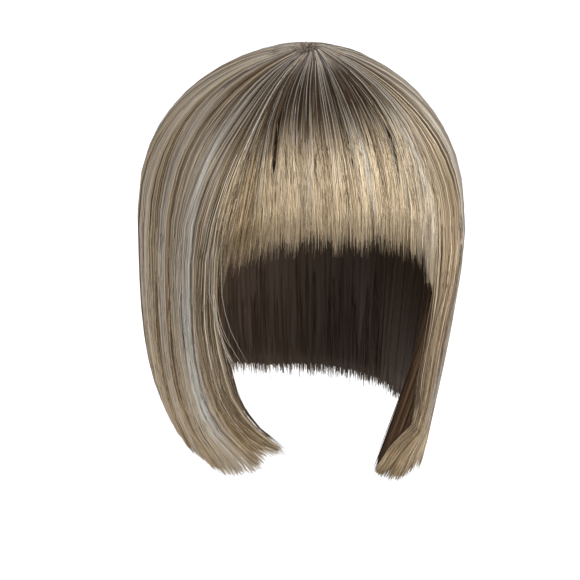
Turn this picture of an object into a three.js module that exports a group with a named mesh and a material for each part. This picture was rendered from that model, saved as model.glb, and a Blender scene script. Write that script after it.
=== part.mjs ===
// A straight bob wig with a full fringe, in its worn form. Millimetres, +Z up, the face towards -Y,
// the wearer's left towards +X. The origin is the crown seat, the inner top of the cap.
import * as THREE from 'three';

// The head hollow that the cap is made for
const headHalfBreadth = 76;
const headHalfLength = 95;
const headCrownHeight = 95;
const headFullness = 2.2;

// The cap
const capWall = 1.5;
const capNapeDepth = 132;
const seatGap = 0.7;

// Volume of the hair outside the cap, at the widest level and at the crown
const sideVolume = 24.5;
const frontVolume = 5.5;
const backVolume = 25.5;
const crownVolume = 12;
const widestDepth = 109;
const whorlSetback = 8;
const middleSetback = 26;
const sideFall = 1.34;
const frontFall = 1;
const crownFall = 0.79;

// The fringe
const fringeRightAngle = 44;
const fringeLeftAngle = 38;
const fringeDepth = 73;
const fringeTipWall = 3;

// The hair below the widest level
const rightLength = 130;
const leftLength = 147;
const rightSweepIn = 40;
const leftSweepIn = 51;
const rightSweepPower = 3.4;
const leftSweepPower = 1.3;
const sideBlend = 0.72;
const sweepForward = 20;
const frontTipLift = 27;
const sideEndAngle = 126;

// The hair walls and their locks
const hairWall = 13;
const edgeWall = 5;
const edgeTaperShare = 1 / 3;
const hemTipWall = 3.5;
const tipTaperPower = 3;
const lockGroove = 1.6;
const grooveRoomShare = 1 / 3;
const grooveFadeRows = 2.5;
const fringeToothDepth = 5;
const hemToothDepth = 9;
const toothSway = 0.4;
const toothMiddle = 0.5;
const partGap = 0.4;

// The whorl patch
const whorlRadius = 15;
const whorlDimpleDepth = 3;
const whorlRidge = 0.5;
const whorlRidges = 9;
const whorlTwist = 140;

// Cap edge: degrees from the front, and depth as a share of the nape's depth
const CAP_EDGE = [
  { at: 0, depth: 0.45 },
  { at: 35, depth: 0.5 },
  { at: 62, depth: 0.72 },
  { at: 90, depth: 0.74 },
  { at: 125, depth: 0.9 },
  { at: 180, depth: 1 },
];

// Cut of the fringe: place across it, from -1 at its right end to 1 at its left, and share of its depth
const FRINGE_CUT = [
  { at: -1, depth: 1.42 },
  { at: -0.86, depth: 1.23 },
  { at: -0.64, depth: 1.08 },
  { at: -0.46, depth: 0.94 },
  { at: -0.1, depth: 0.92 },
  { at: 0.3, depth: 0.97 },
  { at: 0.53, depth: 1.02 },
  { at: 0.82, depth: 1.2 },
  { at: 1, depth: 1.5 },
];

// Hem: degrees from the front, and shares of the sweep inwards, of the sweep forwards and of the tips' lift
const HEM = [
  { at: 38, inward: 0.78, forward: 0.6, lift: 1 },
  { at: 46, inward: 0.85, forward: 0.65, lift: 0.85 },
  { at: 57, inward: 0.7, forward: 0.55, lift: 0.3 },
  { at: 66, inward: 0.5, forward: 0.35, lift: 0.05 },
  { at: 78, inward: 0.42, forward: 0.1, lift: 0 },
  { at: 94, inward: 0.42, forward: 0, lift: 0 },
  { at: 107, inward: 0.33, forward: 0, lift: 0 },
  { at: 126, inward: 0.2, forward: 0.1, lift: 0 },
  { at: 150, inward: 0.05, forward: 0.5, lift: 0 },
  { at: 180, inward: 0, forward: 1, lift: 0 },
];

// Angles
const fullTurn = 360;
const halfTurn = fullTurn / 2;

// Locks of each hair piece: the angles that it spans and how many locks it has
const HAIR_PIECES = [
  { name: 'fringe', from: -fringeRightAngle, to: fringeLeftAngle, locks: 12, isFringe: true },
  { name: 'side_hair_left', from: fringeLeftAngle, to: sideEndAngle, locks: 12, frontEdge: 'from' },
  { name: 'back_hair', from: sideEndAngle, to: fullTurn - sideEndAngle, locks: 14 },
  { name: 'side_hair_right', from: -sideEndAngle, to: -fringeRightAngle, locks: 11, frontEdge: 'to' },
];

// Finishes
const HAIR_FINISH = { color: 0x9d8f7c, roughness: 0.45, metalness: 0 };
const WHORL_FINISH = { color: 0x71695f, roughness: 0.6, metalness: 0 };
const CAP_FINISH = { color: 0x4a3f36, roughness: 0.9, metalness: 0 };

// Facets
const capColumns = 48;
const capRows = 9;
const capRowSpacing = 1.6;
const whorlColumns = 36;
const whorlRows = 4;
const columnsPerLock = 3;
const domeRows = 10;
const curtainRows = 5;

// Values that follow from the sizes above
const hairHalfWidth = headHalfBreadth + capWall + sideVolume;
const hairFrontReach = headHalfLength + capWall + frontVolume + middleSetback;
const hairBackReach = headHalfLength + capWall + backVolume - middleSetback;
const hairTop = capWall + crownVolume;
const widestLevel = -widestDepth;
const headMiddleLevel = -headCrownHeight;

const radians = THREE.MathUtils.degToRad;
const mix = THREE.MathUtils.lerp;
const clamp = THREE.MathUtils.clamp;

/** Smooth value of a table's column at a place, through its rows and level past its ends. */
function tableValue(table, column, place) {
  const last = table.length - 1;
  const at = clamp(place, table[0].at, table[last].at);
  let i = 0;
  while (i < last - 1 && at > table[i + 1].at) i += 1;
  const row = (n) => table[clamp(n, 0, last)];
  const slope = (n) => (row(n + 1)[column] - row(n - 1)[column]) / (row(n + 1).at - row(n - 1).at);
  const width = row(i + 1).at - row(i).at;
  const t = (at - row(i).at) / width;
  const rise = (row(i + 1)[column] - row(i)[column]) * t * t * (3 - 2 * t);
  const enter = t * (1 - t) * (1 - t) * slope(i) * width;
  const leave = t * t * (t - 1) * slope(i + 1) * width;
  return row(i)[column] + rise + enter + leave;
}

/** Angle from the front as it is seen from either side, 0 to 180 degrees, and its side, -1 or 1. */
function foldAngle(angle) {
  const turned = ((angle + fullTurn + halfTurn) % fullTurn) - halfTurn;
  return { folded: Math.abs(turned), side: turned < 0 ? -1 : 1 };
}

/** How far out a point lies as a multiple of the head surface grown by a distance. */
function headScale(point, grown) {
  const plan = Math.hypot(point.x / (headHalfBreadth + grown), point.y / (headHalfLength + grown));
  const rise = Math.max(0, (point.z - headMiddleLevel) / (headCrownHeight + grown));
  return (plan ** headFullness + rise ** headFullness) ** (1 / headFullness);
}

/** Point inside the head that a point outside it is measured from. */
function headCore(point) {
  return new THREE.Vector3(0, 0, Math.min(point.z, headMiddleLevel));
}

/** The point of the grown head surface that lies straight inwards from a point. */
function dropToHead(point, grown) {
  const core = headCore(point);
  return point.clone().sub(core).divideScalar(headScale(point, grown)).add(core);
}

/** Plan outline of the hair at its widest level, at an angle from the front. */
function widestOutline(angle) {
  const a = radians(angle);
  const reach = Math.cos(a) > 0 ? hairFrontReach : hairBackReach;
  return { x: hairHalfWidth * Math.sin(a), y: middleSetback - reach * Math.cos(a) };
}

/** Smooth outer surface of the hair. Along: 0 at the whorl, 1 at the widest level, 2 at the hem. */
function hairSurface(angle, along) {
  const edge = widestOutline(angle);
  const { folded, side } = foldAngle(angle);
  const dome = (Math.min(along, 1) * Math.PI) / 2;
  const spread = Math.sin(dome) ** fallAt(angle);
  const height = Math.max(0, Math.cos(dome)) ** crownFall;
  const point = new THREE.Vector3(
    edge.x * spread,
    mix(whorlSetback, edge.y, spread),
    mix(widestLevel, hairTop, height),
  );
  if (along > 1) {
    const down = along - 1;
    const leftness = clamp(0.5 + Math.sin(radians(angle)) * sideBlend, 0, 1);
    const pull = down ** mix(rightSweepPower, leftSweepPower, leftness);
    const length = mix(rightLength, leftLength, leftness);
    const sweepIn = mix(rightSweepIn, leftSweepIn, leftness);
    point.x -= side * sweepIn * tableValue(HEM, 'inward', folded) * pull;
    point.y -= sweepForward * tableValue(HEM, 'forward', folded) * pull;
    point.z -= (length - frontTipLift * tableValue(HEM, 'lift', folded)) * down;
  }
  return point;
}

/** Distance along the dome, 0 to 1, at which the surface reaches a depth below the crown seat. */
function alongAtDepth(depth) {
  const height = clamp((widestDepth - depth) / (widestDepth + hairTop), -1, 1);
  if (height < 0) return 1 + (depth - widestDepth) / rightLength;
  return (Math.acos(height ** (1 / crownFall)) * 2) / Math.PI;
}

/** Collects triangles of one closed body and turns them into a named mesh. */
class Solid {
  constructor() {
    this.points = [];
    this.faces = [];
  }

  add(point) {
    this.points.push(point.x, point.y, point.z);
    return this.points.length / 3 - 1;
  }

  quad(a, b, c, d) {
    this.faces.push(a, b, c, a, c, d);
  }

  triangle(a, b, c) {
    this.faces.push(a, b, c);
  }

  mesh(name, finish) {
    const shape = new THREE.BufferGeometry();
    shape.setAttribute('position', new THREE.Float32BufferAttribute(this.points, 3));
    shape.setIndex(this.faces);
    shape.computeVertexNormals();
    const made = new THREE.Mesh(shape, new THREE.MeshStandardMaterial(finish));
    made.name = name;
    return made;
  }
}

/** Closed shell round a pole: an outer and an inner surface of (angle, share) joined at the rim. */
function poleShell(columns, rows, outer, inner) {
  const solid = new Solid();
  const layer = (surface) => {
    const rings = [[solid.add(surface(0, 0))]];
    for (let j = 1; j <= rows; j += 1) {
      const ring = [];
      for (let i = 0; i < columns; i += 1) ring.push(solid.add(surface((fullTurn * i) / columns, j / rows)));
      rings.push(ring);
    }
    return rings;
  };
  const top = layer(outer);
  const under = layer(inner);
  for (let i = 0; i < columns; i += 1) {
    const k = (i + 1) % columns;
    solid.triangle(top[0][0], top[1][i], top[1][k]);
    solid.triangle(under[0][0], under[1][k], under[1][i]);
    for (let j = 1; j < rows; j += 1) {
      solid.quad(top[j][i], top[j + 1][i], top[j + 1][k], top[j][k]);
      solid.quad(under[j][k], under[j + 1][k], under[j + 1][i], under[j][i]);
    }
    solid.quad(top[rows][i], under[rows][i], under[rows][k], top[rows][k]);
  }
  return solid;
}

/** Fills the strip between two rows of points that share their first and last places. */
function zip(solid, fine, coarse) {
  const ratio = (fine.length - 1) / (coarse.length - 1);
  for (let j = 0; j < coarse.length - 1; j += 1) {
    const start = Math.round(j * ratio);
    const end = Math.round((j + 1) * ratio);
    const middle = Math.floor((start + end) / 2);
    for (let i = start; i < middle; i += 1) solid.triangle(fine[i], coarse[j], fine[i + 1]);
    solid.triangle(fine[middle], coarse[j], coarse[j + 1]);
    for (let i = middle; i < end; i += 1) solid.triangle(fine[i], coarse[j + 1], fine[i + 1]);
  }
}

/** Closed wall: a fine outer grid and an inner grid with one column for each lock. */
function lockWall(locks, rows, outer, inner) {
  const solid = new Solid();
  const grid = (columns, surface) => {
    const made = [];
    for (let i = 0; i <= columns; i += 1) {
      const column = [];
      for (let j = 0; j <= rows; j += 1) column.push(solid.add(surface(i / columns, j / rows)));
      made.push(column);
    }
    return made;
  };
  const skin = grid(locks * columnsPerLock, outer);
  const back = grid(locks, inner);
  const face = (made, a, b) => {
    for (let i = 0; i + 1 < made.length; i += 1) {
      for (let j = 0; j < rows; j += 1) {
        const corners = [made[i][j], made[i][j + 1], made[i + 1][j + 1], made[i + 1][j]];
        solid.quad(corners[a], corners[1], corners[b], corners[3]);
      }
    }
  };
  face(skin, 0, 2);
  face(back, 2, 0);
  const rim = (made, j) => made.map((column) => column[j]);
  zip(solid, rim(skin, rows), rim(back, rows));
  zip(solid, rim(skin, 0).reverse(), rim(back, 0).reverse());
  const side = (a, b) => {
    for (let j = 0; j < rows; j += 1) solid.quad(a[j], b[j], b[j + 1], a[j + 1]);
  };
  side(skin[0], back[0]);
  side(back[locks], skin[locks * columnsPerLock]);
  return solid;
}

/** Roundness of a lock across its width: 0 in the groove on either side and 1 along its crest. */
function lockCrest(share, locks) {
  return Math.abs(Math.sin(Math.PI * share * locks));
}

/** How far a lock's tip reaches past the cut: below 0 in the notches, above 0 at the points. */
function toothAt(share, locks) {
  const lock = Math.floor(Math.min(share * locks, locks - 1));
  const reach = 1 + toothSway * Math.sin(lock * lock + lock);
  return lockCrest(share, locks) * reach - toothMiddle;
}

/** Power that the dome's spread follows at an angle: fuller in front than at the sides and the back. */
function fallAt(angle) {
  return mix(sideFall, frontFall, Math.max(0, Math.cos(radians(angle))));
}

/** Distance along the hair surface at which it leaves the whorl patch. */
function whorlAlong(angle) {
  const edge = widestOutline(angle);
  const span = Math.hypot(edge.x, edge.y - whorlSetback);
  return (Math.asin((whorlRadius / span) ** (1 / fallAt(angle))) * 2) / Math.PI;
}

/** Hair piece: locks from the whorl patch down to the cut of the fringe or to the hem. */
function hairPiece({ name, from, to, locks, isFringe = false, frontEdge = null }) {
  const rows = isFringe ? domeRows : domeRows + curtainRows;
  const tipWall = isFringe ? fringeTipWall : hemTipWall;
  const endAlong = (share) => {
    const tooth = toothAt(share, locks);
    if (!isFringe) return 2 + (hemToothDepth * tooth) / rightLength;
    const cut = fringeDepth * tableValue(FRINGE_CUT, 'depth', share * 2 - 1);
    return alongAtDepth(cut + fringeToothDepth * tooth);
  };
  const rowAlong = (start, end, down) => {
    if (isFringe) return mix(start, end, down);
    const row = down * rows;
    if (row <= domeRows) return mix(start, 1, row / domeRows);
    return mix(1, end, (row - domeRows) / curtainRows);
  };
  const skinPoint = (share, down) => {
    const angle = mix(from, to, share);
    const along = rowAlong(whorlAlong(angle), endAlong(share), down);
    const middle = hairSurface(angle, along);
    const radius = Math.max(whorlRadius, Math.hypot(middle.x, middle.y - whorlSetback));
    const inset = (partGap / 2 / radius) * (1 - 2 * share);
    return hairSurface(angle + THREE.MathUtils.radToDeg(inset), along);
  };
  const intoWall = (share, down, depth) => {
    const skin = skinPoint(share, down);
    const room = dropToHead(skin, capWall + seatGap).sub(skin);
    const reach = depth(room.length());
    return skin.addScaledVector(room.normalize(), reach);
  };
  const outer = (share, down) => {
    const fade = Math.min(1, (down * rows) / grooveFadeRows);
    const groove = lockGroove * (1 - Math.sqrt(lockCrest(share, locks))) * fade;
    return intoWall(share, down, (room) => Math.min(groove, room * grooveRoomShare));
  };
  const inner = (share, down) => {
    const fromEdge = frontEdge === 'from' ? share : 1 - share;
    const nearEdge = frontEdge ? mix(edgeWall, hairWall, Math.min(1, fromEdge / edgeTaperShare)) : hairWall;
    const wall = Math.min(nearEdge, mix(hairWall, tipWall, down ** tipTaperPower));
    return intoWall(share, down, (room) => Math.min(room, wall));
  };
  return lockWall(locks, rows, outer, inner).mesh(name, HAIR_FINISH);
}

/** The cap: the grown head surface cut off along the cap edge. */
function wigCap() {
  const surface = (grown) => (angle, share) => {
    const edgeDepth = capNapeDepth * tableValue(CAP_EDGE, 'depth', foldAngle(angle).folded);
    const depth = edgeDepth * share ** capRowSpacing;
    const rise = clamp((headCrownHeight - depth) / headCrownHeight, 0, 1);
    const plan = (1 - rise ** headFullness) ** (1 / headFullness);
    const a = radians(angle);
    const lift = grown * rise;
    return new THREE.Vector3(
      (headHalfBreadth + grown) * plan * Math.sin(a),
      -(headHalfLength + grown) * plan * Math.cos(a),
      lift - depth,
    );
  };
  const solid = poleShell(capColumns, capRows, surface(capWall), surface(0));
  return solid.mesh('wig_cap', CAP_FINISH);
}

/** The whorl patch: the middle of the dome, dimpled, with ridges that twist out from the middle. */
function crownWhorl() {
  const shrink = 1 - partGap / whorlRadius;
  const place = (angle, share) => hairSurface(angle, whorlAlong(angle) * shrink * share);
  const outer = (angle, share) => {
    const spot = place(angle, share);
    const twist = radians(angle * whorlRidges + whorlTwist * share);
    const ridge = whorlRidge * Math.sin(twist) * share * (1 - share) * 4;
    spot.z += ridge - whorlDimpleDepth * (1 - share) ** 2;
    return spot;
  };
  const inner = (angle, share) => dropToHead(place(angle, share), capWall + seatGap);
  const solid = poleShell(whorlColumns, whorlRows, outer, inner);
  return solid.mesh('crown_whorl', WHORL_FINISH);
}

const wig = new THREE.Group();
wig.add(wigCap());
wig.add(crownWhorl());
for (const piece of HAIR_PIECES) wig.add(hairPiece(piece));

export default wig;
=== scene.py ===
"""Looks of the bob wig: a net cap, a crown swirl, and closed strands of hair over modelled beds.

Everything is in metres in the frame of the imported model: +Z up, the face side towards -Y, the
wearer's left towards +X, and the origin at the crown seat. Angles are degrees round the head from
the front, and "along" runs from 0 at the whorl to 1 at the widest level and 2 at the hem.
"""

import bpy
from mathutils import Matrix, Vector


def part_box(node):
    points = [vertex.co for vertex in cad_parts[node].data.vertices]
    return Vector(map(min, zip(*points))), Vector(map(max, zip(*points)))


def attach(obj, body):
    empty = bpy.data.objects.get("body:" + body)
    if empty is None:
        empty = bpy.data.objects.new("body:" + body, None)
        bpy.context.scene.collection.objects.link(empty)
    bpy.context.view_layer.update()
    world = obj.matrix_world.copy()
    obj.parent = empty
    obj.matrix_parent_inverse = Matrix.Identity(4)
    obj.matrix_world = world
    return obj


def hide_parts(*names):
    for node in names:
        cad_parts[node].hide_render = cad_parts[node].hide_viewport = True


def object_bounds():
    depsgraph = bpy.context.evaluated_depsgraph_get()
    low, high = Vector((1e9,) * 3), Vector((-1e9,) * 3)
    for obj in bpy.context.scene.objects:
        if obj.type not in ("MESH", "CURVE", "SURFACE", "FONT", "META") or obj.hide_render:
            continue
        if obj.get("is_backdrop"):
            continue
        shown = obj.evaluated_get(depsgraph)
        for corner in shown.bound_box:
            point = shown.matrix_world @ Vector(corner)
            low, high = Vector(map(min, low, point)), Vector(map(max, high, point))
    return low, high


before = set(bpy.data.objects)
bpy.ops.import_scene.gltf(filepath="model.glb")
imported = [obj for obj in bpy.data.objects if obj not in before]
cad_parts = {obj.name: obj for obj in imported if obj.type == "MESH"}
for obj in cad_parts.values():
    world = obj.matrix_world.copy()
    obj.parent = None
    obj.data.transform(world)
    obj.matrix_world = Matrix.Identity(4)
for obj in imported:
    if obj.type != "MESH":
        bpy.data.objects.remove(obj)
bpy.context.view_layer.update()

import logging
import math
from dataclasses import dataclass, field
from enum import Enum
from typing import Callable, Sequence

import bmesh
import bpy
import numpy as np
from mathutils import Vector

LOG = logging.getLogger("bob_wig")
MM = 0.001
BODY = "root"
BAKE_MAP = "OFBake"
FLOW_MAP = "Flow"

Array = np.ndarray
Colour = tuple[float, float, float]
Feed = bpy.types.NodeSocket | Colour | float


class Slot(Enum):
    """Names of the material slots: hair, whorl and cap."""

    HAIR = "hair"
    WHORL = "whorl"
    CAP = "cap"


def linear(red: int, green: int, blue: int) -> Colour:
    """Turns a display colour of 0 to 255 a channel into the linear colour that shaders use."""
    return tuple(((c / 255 + 0.055) / 1.055) ** 2.4 if c > 10 else c / 3294.6 for c in (red, green, blue))


def ramp(value: Array, low: float, high: float) -> Array:
    """Eases from 0 below low to 1 above high."""
    t = np.clip((value - low) / (high - low), 0.0, 1.0)
    return t * t * (3 - 2 * t)


def column(table: Sequence[Sequence[float]], name_at: int, place: Array) -> Array:
    """Reads a column of a short table at each place, straight between its rows.

    Args:
        table: Rows whose first column is the place.
        name_at: Index of the column that is wanted.
        place: Where to read it.

    Returns:
        The values, level past the table's ends.
    """
    rows = np.array(table, float)
    return np.interp(place, rows[:, 0], rows[:, name_at])


def twice(values: Array) -> Array:
    """Lists the numbers of a grid for its outer points, and again for its inner ones."""
    return np.tile(values.ravel(), 2)


@dataclass(frozen=True)
class HeadForm:
    """The head hollow that the cap fits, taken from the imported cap.

    Attributes:
        half_breadth: Half the width of the cap's outside.
        half_length: Half its length from front to back.
        top: Height of its outside over the crown seat.
        crown_height: From the widest level of the head up to the crown seat.
        fullness: Power of the rounded profile, where 2 is an ellipse.
        chin: Depth below which the hair hangs free of the head.
        neck: Depth at which it is wholly free.
        neck_room: Room that it then has inwards.
    """

    half_breadth: float
    half_length: float
    top: float
    crown_height: float = 95 * MM
    fullness: float = 2.2
    chin: float = 128 * MM
    neck: float = 168 * MM
    neck_room: float = 16 * MM

    @classmethod
    def from_frame(cls) -> "HeadForm":
        """Reads the cap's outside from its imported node."""
        low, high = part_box("wig_cap")
        return cls(high.x, high.y, high.z)

    def scale(self, points: Array, grown: float = 0.0) -> Array:
        """How far out points lie, as a multiple of the cap's outside grown by a distance."""
        plan = np.hypot(
            points[..., 0] / (self.half_breadth + grown),
            points[..., 1] / (self.half_length + grown),
        )
        rise = (points[..., 2] + self.crown_height) / (self.crown_height + self.top + grown)
        power = self.fullness
        return (plan**power + np.maximum(rise, 0.0) ** power) ** (1 / power)

    def core(self, points: Array) -> Array:
        """The point inside the head that each point outside it is measured from."""
        middle = np.zeros_like(points)
        middle[..., 2] = np.minimum(points[..., 2], -self.crown_height)
        return middle

    def inwards(self, points: Array, grown: float = 0.0) -> tuple[Array, Array]:
        """Direction from each point into the head, and the room to the cap's outside.

        Args:
            points: Points outside the cap.
            grown: Gap kept outside the cap.

        Returns:
            Unit directions, and distances in metres.
        """
        reach = self.core(points) - points
        length = np.linalg.norm(reach, axis=-1)
        room = length * (1 - 1 / self.scale(points, grown))
        free = self.neck_room * ramp(-points[..., 2], self.chin, self.neck)
        room = np.maximum(np.maximum(room, free), 0.0)
        return reach / length[..., None], room


@dataclass(frozen=True)
class HairShape:
    """Outer form of the hair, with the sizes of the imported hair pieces.

    Attributes:
        half_width: Half width at the widest level.
        front: Reach of the front at the widest level.
        back: Reach of the back at the widest level.
        top: Height of the whorl over the crown seat.
        middle: Setback of the hair's middle.
        whorl: Setback of the whorl.
        widest: Depth of the widest level.
        side_fall: Power of the dome's spread at the sides.
        front_fall: The same in front.
        crown_fall: Power of the dome's height.
        right_length: Drop from the widest level to the hem on the right.
        left_length: The same on the left.
        right_sweep: How far the right hem comes inwards.
        left_sweep: The same on the left.
        right_power: Power of that sweep on the right.
        left_power: The same on the left.
        forward: How far the hem comes forwards.
        tip_lift: How far the tips by the face are lifted.
        fringe_depth: Depth below the crown seat that the fringe's cut is measured by.
    """

    half_width: float
    front: float
    back: float
    top: float
    middle: float = 26 * MM
    whorl: float = 8 * MM
    widest: float = 109 * MM
    side_fall: float = 1.34
    front_fall: float = 1.0
    crown_fall: float = 0.79
    right_length: float = 130 * MM
    left_length: float = 147 * MM
    right_sweep: float = 40 * MM
    left_sweep: float = 51 * MM
    right_power: float = 3.4
    left_power: float = 1.3
    forward: float = 20 * MM
    tip_lift: float = 27 * MM
    fringe_depth: float = 73 * MM

    # Hem: degrees from the front, shares of the sweep inwards, of the sweep forwards and of the lift
    HEM = (
        (38, 0.78, 0.6, 1),
        (46, 0.85, 0.65, 0.85),
        (57, 0.7, 0.55, 0.3),
        (66, 0.5, 0.35, 0.05),
        (78, 0.42, 0.1, 0),
        (94, 0.42, 0, 0),
        (107, 0.33, 0, 0),
        (126, 0.2, 0.1, 0),
        (150, 0.05, 0.5, 0),
        (180, 0, 1, 0),
    )
    # Cut of the fringe: degrees from the front, and depth as a share of the fringe's depth
    CUT = (
        (-46, 1.3), (-42, 1.2), (-40, 1.1), (-34, 1.01), (-29, 0.95), (-24, 0.89), (-17, 0.86),
        (-7, 0.85), (3, 0.88), (18, 0.93), (26, 1.04), (31, 1.14), (35, 1.32), (39, 1.46),
    )

    @classmethod
    def from_frame(cls) -> "HairShape":
        """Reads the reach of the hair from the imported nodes."""
        left_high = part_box("side_hair_left")[1]
        back_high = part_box("back_hair")[1]
        fringe_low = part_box("fringe")[0]
        whorl_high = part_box("crown_whorl")[1]
        curve_past_cut = 2.6 * MM
        return cls(left_high.x, curve_past_cut - fringe_low.y, back_high.y, whorl_high.z)

    def fall(self, angle: Array) -> Array:
        """Power of the dome's spread at each angle."""
        facing = np.maximum(np.cos(np.radians(angle)), 0.0)
        return self.side_fall + (self.front_fall - self.side_fall) * facing

    def surface(self, angle: Array, along: Array) -> Array:
        """Smooth outer surface of the hair.

        Args:
            angle: Degrees round the head from the front.
            along: 0 at the whorl, 1 at the widest level, 2 at the hem.

        Returns:
            Points in metres, with one more axis than the inputs.
        """
        angle, along = np.broadcast_arrays(np.asarray(angle, float), np.asarray(along, float))
        turn = np.radians(angle)
        sine, cosine = np.sin(turn), np.cos(turn)
        reach = np.where(cosine > 0, self.front + self.middle, self.back - self.middle)
        dome = np.clip(along, 0.0, 1.0) * math.pi / 2
        spread = np.sin(dome) ** self.fall(angle)
        height = np.maximum(np.cos(dome), 0.0) ** self.crown_fall
        edge_y = self.middle - reach * cosine
        down = np.maximum(along - 1, 0.0)
        leftness = np.clip(0.5 + 0.72 * sine, 0.0, 1.0)
        folded = np.abs((angle + 540) % 360 - 180)
        side = np.sign(sine)
        pull = down ** (self.right_power + (self.left_power - self.right_power) * leftness)
        sweep = self.right_sweep + (self.left_sweep - self.right_sweep) * leftness
        length = self.right_length + (self.left_length - self.right_length) * leftness
        x = self.half_width * sine * spread - side * sweep * column(self.HEM, 1, folded) * pull
        y = self.whorl + (edge_y - self.whorl) * spread - self.forward * column(self.HEM, 2, folded) * pull
        z = -self.widest + (self.top + self.widest) * height
        z = z - (length - self.tip_lift * column(self.HEM, 3, folded)) * down
        return np.stack([x, y, z], axis=-1)

    def along_at_depth(self, depth: Array) -> Array:
        """Place along the dome where the surface reaches a depth below the crown seat."""
        height = np.clip((self.widest - depth) / (self.widest + self.top), 0.0, 1.0)
        dome = np.arccos(height ** (1 / self.crown_fall)) * 2 / math.pi
        return np.where(depth > self.widest, 1 + (depth - self.widest) / self.right_length, dome)

    def along_at_radius(self, angle: Array, radius: Array) -> Array:
        """Place along the dome where the surface has spread out to a radius round the whorl."""
        turn = np.radians(angle)
        reach = np.where(np.cos(turn) > 0, self.front + self.middle, self.back - self.middle)
        edge_y = self.middle - reach * np.cos(turn) - self.whorl
        span = np.hypot(self.half_width * np.sin(turn), edge_y)
        return np.arcsin(np.clip(radius / span, 0, 1) ** (1 / self.fall(angle))) * 2 / math.pi

    def fringe_end(self, angle: Array) -> Array:
        """Place along the hair where the fringe is cut."""
        return self.along_at_depth(self.fringe_depth * column(self.CUT, 1, angle))


class Ripple:
    """A smooth wandering wave over the hair, the same at every run, from about -1 to 1."""

    def __init__(self, seed: int, pitch: float, wander: float = 1.5, waves: int = 5) -> None:
        """Draws the waves.

        Args:
            seed: Seed of the draw.
            pitch: Degrees from crest to crest.
            wander: How far the crests wander along the hair.
            waves: How many waves are added.
        """
        draw = np.random.default_rng(seed)
        self.rates = math.tau / pitch * draw.uniform(0.55, 1.5, waves)
        self.phases = draw.uniform(0, math.tau, waves)
        self.drifts = draw.normal(0, wander, waves)
        self.size = math.sqrt(2 / waves)

    def at(self, angle: Array, along: Array) -> Array:
        """Height of the wave at each place."""
        total = 0.0
        for rate, phase, drift in zip(self.rates, self.phases, self.drifts):
            total = total + np.sin(rate * angle + phase + drift * along)
        return total * self.size / 1.6


class Locks:
    """Uneven locks round the head, which draw their strands together towards the tips."""

    def __init__(self, seed: int, narrow: float, wide: float) -> None:
        """Lays out the locks.

        Args:
            seed: Seed of the draw.
            narrow: Least width of a lock, in degrees.
            wide: Greatest width.
        """
        draw = np.random.default_rng(seed)
        widths = draw.uniform(narrow, wide, int(400 / narrow))
        self.edges = -200 + np.concatenate([[0.0], np.cumsum(widths)])
        self.lengths = draw.normal(0, 1, len(self.edges))

    def pull(self, angle: Array) -> tuple[Array, Array, Array]:
        """Finds the lock of each strand.

        Args:
            angle: Where the strands lie.

        Returns:
            How far each is from its lock's middle, how near to its edge (0 to 1), and the lock's
            own random number.
        """
        index = np.clip(np.searchsorted(self.edges, angle) - 1, 0, len(self.edges) - 2)
        low, high = self.edges[index], self.edges[index + 1]
        offset = (low + high) / 2 - angle
        return offset, np.abs(offset) * 2 / (high - low), self.lengths[index]


@dataclass(frozen=True)
class Streak:
    """A paler streak that runs down the hair.

    Attributes:
        angle: Where it lies.
        width: How wide it is, in degrees.
        start: Place along the hair where it appears.
        end: Where it fades.
        strength: How pale it is.
    """

    angle: float
    width: float
    start: float
    end: float
    strength: float


@dataclass(frozen=True)
class Band:
    """A broad band of strands that differ in colour from their neighbours.

    Attributes:
        angle: Where it lies, as the strands' own angle.
        width: Half width in degrees.
        lightness: How much lighter and more golden it is, or darker and browner below 0.
        silver: How far it turns to the pale grey of the streaks.
        hue: Olive gold at 1 and mauve grey at -1.
    """

    angle: float
    width: float
    lightness: float
    silver: float = 0.0
    hue: float = 0.0


@dataclass(frozen=True)
class Gap:
    """A narrow parting between two locks that shows the hair below, with painted shade inside it.

    Attributes:
        angle: Where it lies, as the strands' own angle.
        width: Half width in degrees.
        start: Place along the hair where it opens.
        end: Where it closes.
    """

    angle: float
    width: float
    start: float
    end: float

    def openness(self, along: Array) -> Array:
        """How far the parting is open at each place, 0 to 1."""
        ease = 0.08
        return ramp(along, self.start, self.start + ease) * (1 - ramp(along, self.end - ease, self.end))


STREAKS = (
    Streak(-57.0, 1.3, 0.3, 1.3, 1.0),
    Streak(-58.6, 3.3, 0.95, 1.97, 1.0),
    Streak(-61.5, 0.9, 0.4, 1.5, 0.7),
    Streak(-50.5, 0.9, 0.5, 1.7, 0.5),
    Streak(-72.0, 1.6, 0.4, 1.7, 0.6),
    Streak(-63.0, 0.9, 0.7, 1.9, 0.5),
    Streak(-90.0, 1.4, 0.3, 1.5, 0.5),
    Streak(-14.0, 0.8, 0.35, 0.8, 0.6),
    Streak(-33.0, 0.8, 0.4, 0.8, 0.4),
    Streak(9.5, 1.3, 0.35, 0.8, 0.65),
    Streak(24.0, 0.8, 0.35, 0.85, 0.45),
    Streak(35.0, 1.6, 0.3, 0.95, 0.7),
    Streak(64.0, 2.6, 0.4, 1.9, 0.8),
    Streak(95.0, 2.5, 0.3, 1.8, 0.7),
    Streak(140.0, 3.0, 0.3, 1.8, 0.7),
    Streak(-150.0, 3.5, 0.3, 1.8, 0.7),
    Streak(176.0, 2.0, 0.3, 1.8, 0.6),
)
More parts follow.
